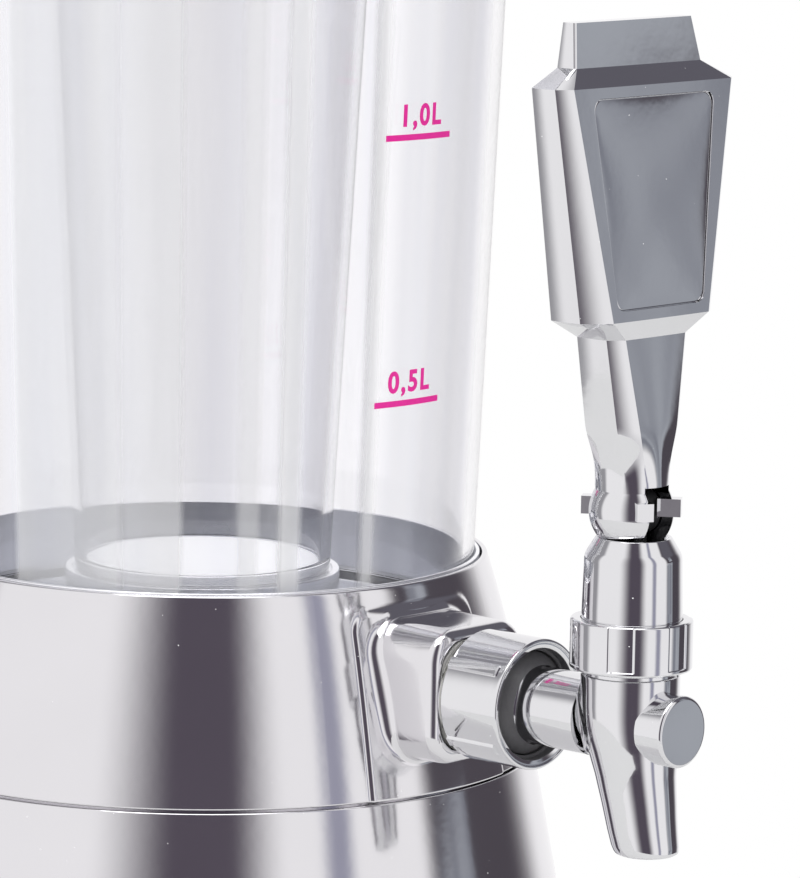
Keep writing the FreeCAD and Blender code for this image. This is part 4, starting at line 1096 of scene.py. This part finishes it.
bonnet_foot, bonnet_rim = (corner.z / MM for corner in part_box("tap_bonnet"))
ball_z = rim_z + 21.4
pivot_reach = tap_reach - 0.7
ball_radius = 8.15
seat_radius = 8.3
seat = []
for k in range(11):
    z = bonnet_rim - (bonnet_rim - (ball_z - 7.6)) * k / 10
    seat.append((sqrt(seat_radius ** 2 - (ball_z - z) ** 2), z))
bonnet_outline = [(7.4, bonnet_foot), (10.0, bonnet_foot), (10.0, bonnet_foot + 1.45)]
bonnet_outline += [(9.66, bonnet_foot + 1.5)]
bonnet_outline += softened([
    (9.75, bonnet_foot + 1.5, 0), (9.6, ring_top + 2.0, 3.0), (9.32, bonnet_rim - 3.4, 3.6),
    (7.25, bonnet_rim, 0.3), seat[0] + (0,)])[1:-1]
bonnet_outline += seat + [(2.7, seat[-1][1]), (2.7, bonnet_foot + 9.0), (7.4, bonnet_foot + 9.0)]
bonnet = turned("tap_bonnet_visual", bonnet_outline, steps=192, axis_y=-tap_reach)
dressed(bonnet, chrome, "tower", "tap_bonnet", slot="tap_chrome")

# Valve stem
# Black moulded stem with its eye in the lever's slot, a washer and a steel spring that pulls it shut. These
# stay as CAD solids.

finish(black_plastic, "black_plastic", "plunger")
finish(zinc, "steel", "spring_washer", "return_spring", "lever_pin")

# Lever
# The handle is one hollow chrome plated moulding: a ball with four lugs that ride on the bonnet's rim, a neck
# that turns from round to eight-sided, and a tilted paddle with a recessed plate and a thin crest.


def lever_ring(rise, width, thickness, corner, setback, roundness=0.0):
    """Eight-sided ring of 96 points with slightly swelling sides, that may be drawn towards a circle."""
    w = width / 2
    h = thickness / 2
    c = corner
    d = 0.74 * corner
    corners = [(w, h - d), (w - c, h), (-w + c, h), (-w, h - d)]
    corners += [(-w, -h + d), (-w + c, -h), (w - c, -h), (w, -h + d)]
    ring = []
    for (x1, y1), (x2, y2) in zip(corners, corners[1:] + corners[:1]):
        side = hypot(x2 - x1, y2 - y1)
        swell = min(0.022 * side, 0.16) * (1 - roundness)
        for k in range(12):
            bulge = swell * (1 - (k / 6 - 1) ** 2) / side
            x = x1 + (x2 - x1) * k / 12 + (y2 - y1) * bulge
            y = y1 + (y2 - y1) * k / 12 - (x2 - x1) * bulge
            radius = hypot(x, y)
            scale = 1 - roundness + roundness * min(w, h) / radius
            ring.append(Vector((x * scale, -tap_reach + setback + y * scale, rim_z + rise)) * MM)
    return ring


neck_foot, neck_head = 25.0, 55.0
lever_rings = [[Vector((0, -pivot_reach, rim_z + neck_foot)) * MM]]
for k in range(25):
    share = k / 24
    width = 14.0 + (23.4 - 14.0) * share
    thickness = 14.2 + (11.6 - 14.2) * share
    corner = 4.0 + (3.0 - 4.0) * share
    setback = 0.7 + (1.6 - 0.7) * share
    roundness = max(0.0, 1 - share / 0.45)
    roundness = roundness * roundness * (3 - 2 * roundness)
    lever_rings.append(lever_ring(
        neck_foot + (neck_head - neck_foot) * share, width, thickness, corner, setback, roundness))
lever_rings.append(lever_ring(58.7, 38.2, 14.7, 5.15, 1.8))
lever_rings.append(lever_ring(102.3, 51.7, 9.9, 2.9, 2.6))
lever_rings.append(lever_ring(105.7, 37.0, 4.7, 0.5, 3.65))
lever_rings.append(lever_ring(114.0, 34.3, 3.2, 0.5, 4.35))
lever_rings.append([Vector((0, -tap_reach + 4.35, rim_z + 114.0)) * MM])
handle = lofted("handle", lever_rings, closed=False)


def slab(x0, x1, y0, y1, z0, z1):
    """Plain block, used as a tool or as the raw form of a lug; millimetres."""
    mesh = bmesh.new()
    bmesh.ops.create_cube(mesh, size=1.0)
    for vertex in mesh.verts:
        vertex.co = Vector((x0 if vertex.co.x < 0 else x1, y0 if vertex.co.y < 0 else y1,
                            z0 if vertex.co.z < 0 else z1)) * MM
    return from_bmesh("slab", mesh)


def cut(obj, tool):
    """Cuts a tool out of an object and removes the tool."""
    modifier = obj.modifiers.new("cut", "BOOLEAN")
    modifier.operation = "DIFFERENCE"
    modifier.solver = "EXACT"
    modifier.object = tool
    bpy.context.view_layer.update()
    shape = bpy.data.meshes.new_from_object(obj.evaluated_get(bpy.context.evaluated_depsgraph_get()))
    obj.modifiers.clear()
    obj.data = shape
    bpy.data.objects.remove(tool)


ball_outline = [(ball_radius * sin(pi * k / 48), ball_z - ball_radius * cos(pi * k / 48)) for k in range(49)]
ball_outline[0] = (0.0, ball_z - ball_radius)
ball_outline[-1] = (0.0, ball_z + ball_radius)
ball = turned("ball", ball_outline, steps=96, axis_y=-pivot_reach)
slot_box = (-3.5, 3.5, -pivot_reach - 15.0, -pivot_reach + 5.0, ball_z - 10.0, ball_z + 5.2)
cut(handle, slab(*slot_box))
cut(ball, slab(*slot_box))
window_floor = -pivot_reach + 6.2
cut(handle, slab(-3.5, 3.5, window_floor, window_floor + 6.0, ball_z + 4.2, ball_z + 8.4))
lugs = []
for turn in (56.0, 124.0, 236.0, 304.0):
    lug = slab(5.0, 9.45, -1.6, 1.6, ball_z - 0.75, ball_z + 2.65)
    to_pivot = Matrix.Translation(Vector((0, -pivot_reach, 0)) * MM)
    lug.data.transform(to_pivot @ Matrix.Rotation(radians(turn), 4, "Z"))
    lugs.append(lug)


recess_foot = 60.7
recess_head = 100.3
recess_corner = 2.2
recess_middle = 80.5


def paddle_face(rise):
    """Half width and reach of the paddle's front face at a height."""
    share = (rise - 58.7) / (102.3 - 58.7)
    return 13.95 + (22.95 - 13.95) * share, tap_reach + 5.55 + (2.35 - 5.55) * share


def plate_outline(inset):
    """Outline of the recess in the paddle's sloping face, as across, height and reach."""
    foot = recess_foot + inset
    head = recess_head - inset
    foot_half = paddle_face(foot)[0] - 1.8 - inset
    head_half = paddle_face(head)[0] - 4.8 - inset
    flat = softened([
        (-foot_half, foot, recess_corner), (foot_half, foot, recess_corner),
        (head_half, head, recess_corner), (-head_half, head, recess_corner)])
    outline = []
    for (x1, z1), (x2, z2) in zip(flat, flat[1:] + flat[:1]):
        pieces = 14 if hypot(x2 - x1, z2 - z1) > 5.0 else 1
        outline += [(x1 + (x2 - x1) * k / pieces, z1 + (z2 - z1) * k / pieces) for k in range(pieces)]
    return [(x, z, paddle_face(z)[1]) for x, z in outline]


def plate_ring(inset, sink):
    """Ring of points of the plate or its recess, sunk below the paddle's face."""
    return [Vector((x, -reach + sink, rim_z + rise)) * MM for x, rise, reach in plate_outline(inset)]


def plate_middle(sink):
    """The one point in the middle of the plate or its recess."""
    return [Vector((0, -paddle_face(recess_middle)[1] + sink, rim_z + recess_middle)) * MM]


pocket_rings = [plate_middle(-2.0), plate_ring(0.0, -2.0), plate_ring(0.0, 0.9), plate_middle(0.9)]
cut(handle, lofted("pocket", pocket_rings, closed=False))
lever = joined("tap_lever_visual", [handle, ball] + lugs)
edges = lever.modifiers.new("soft_edges", "BEVEL")
edges.width = 0.0004
edges.segments = 3
edges.limit_method = "ANGLE"
edges.angle_limit = radians(20.0)
edges.harden_normals = False
dressed(lever, chrome, "lever", "tap_lever", slot="tap_chrome")

# Handle plate
# A thin chrome plated plate glued in the paddle's recess, very slightly crowned.

plate_gap = 0.12
plate_back = 0.95
crown_height = 0.24
plate_rings = [plate_middle(plate_back), plate_ring(plate_gap, plate_back), plate_ring(plate_gap, 0.45)]
for k in range(1, 5):
    turn = pi / 2 * k / 4
    plate_rings.append(plate_ring(plate_gap + 0.3 * (1 - cos(turn)), 0.45 - 0.2 * sin(turn)))
for k in range(1, 12):
    share = 1 - k / 12
    ring = []
    for edge_x, edge_rise, edge_reach in plate_outline(0.42):
        x = edge_x * share
        rise = recess_middle + (edge_rise - recess_middle) * share
        half = 12.0 + 6.2 * (rise - 61.0) / 39.3
        crown = crown_height * (1 - min(1.0, x / half) ** 2) * (1 - ((rise - recess_middle) / 19.4) ** 2)
        ring.append(Vector((x, -paddle_face(rise)[1] + 0.25 - max(crown, 0.0), rim_z + rise)) * MM)
    plate_rings.append(ring)
plate_rings.append(plate_middle(0.01))
plate = lofted("handle_plate_visual", plate_rings, closed=False)
dressed(plate, chrome, "lever", "handle_plate", slot="tap_chrome")

# Close

bpy.context.scene.view_settings.view_transform = "Standard"
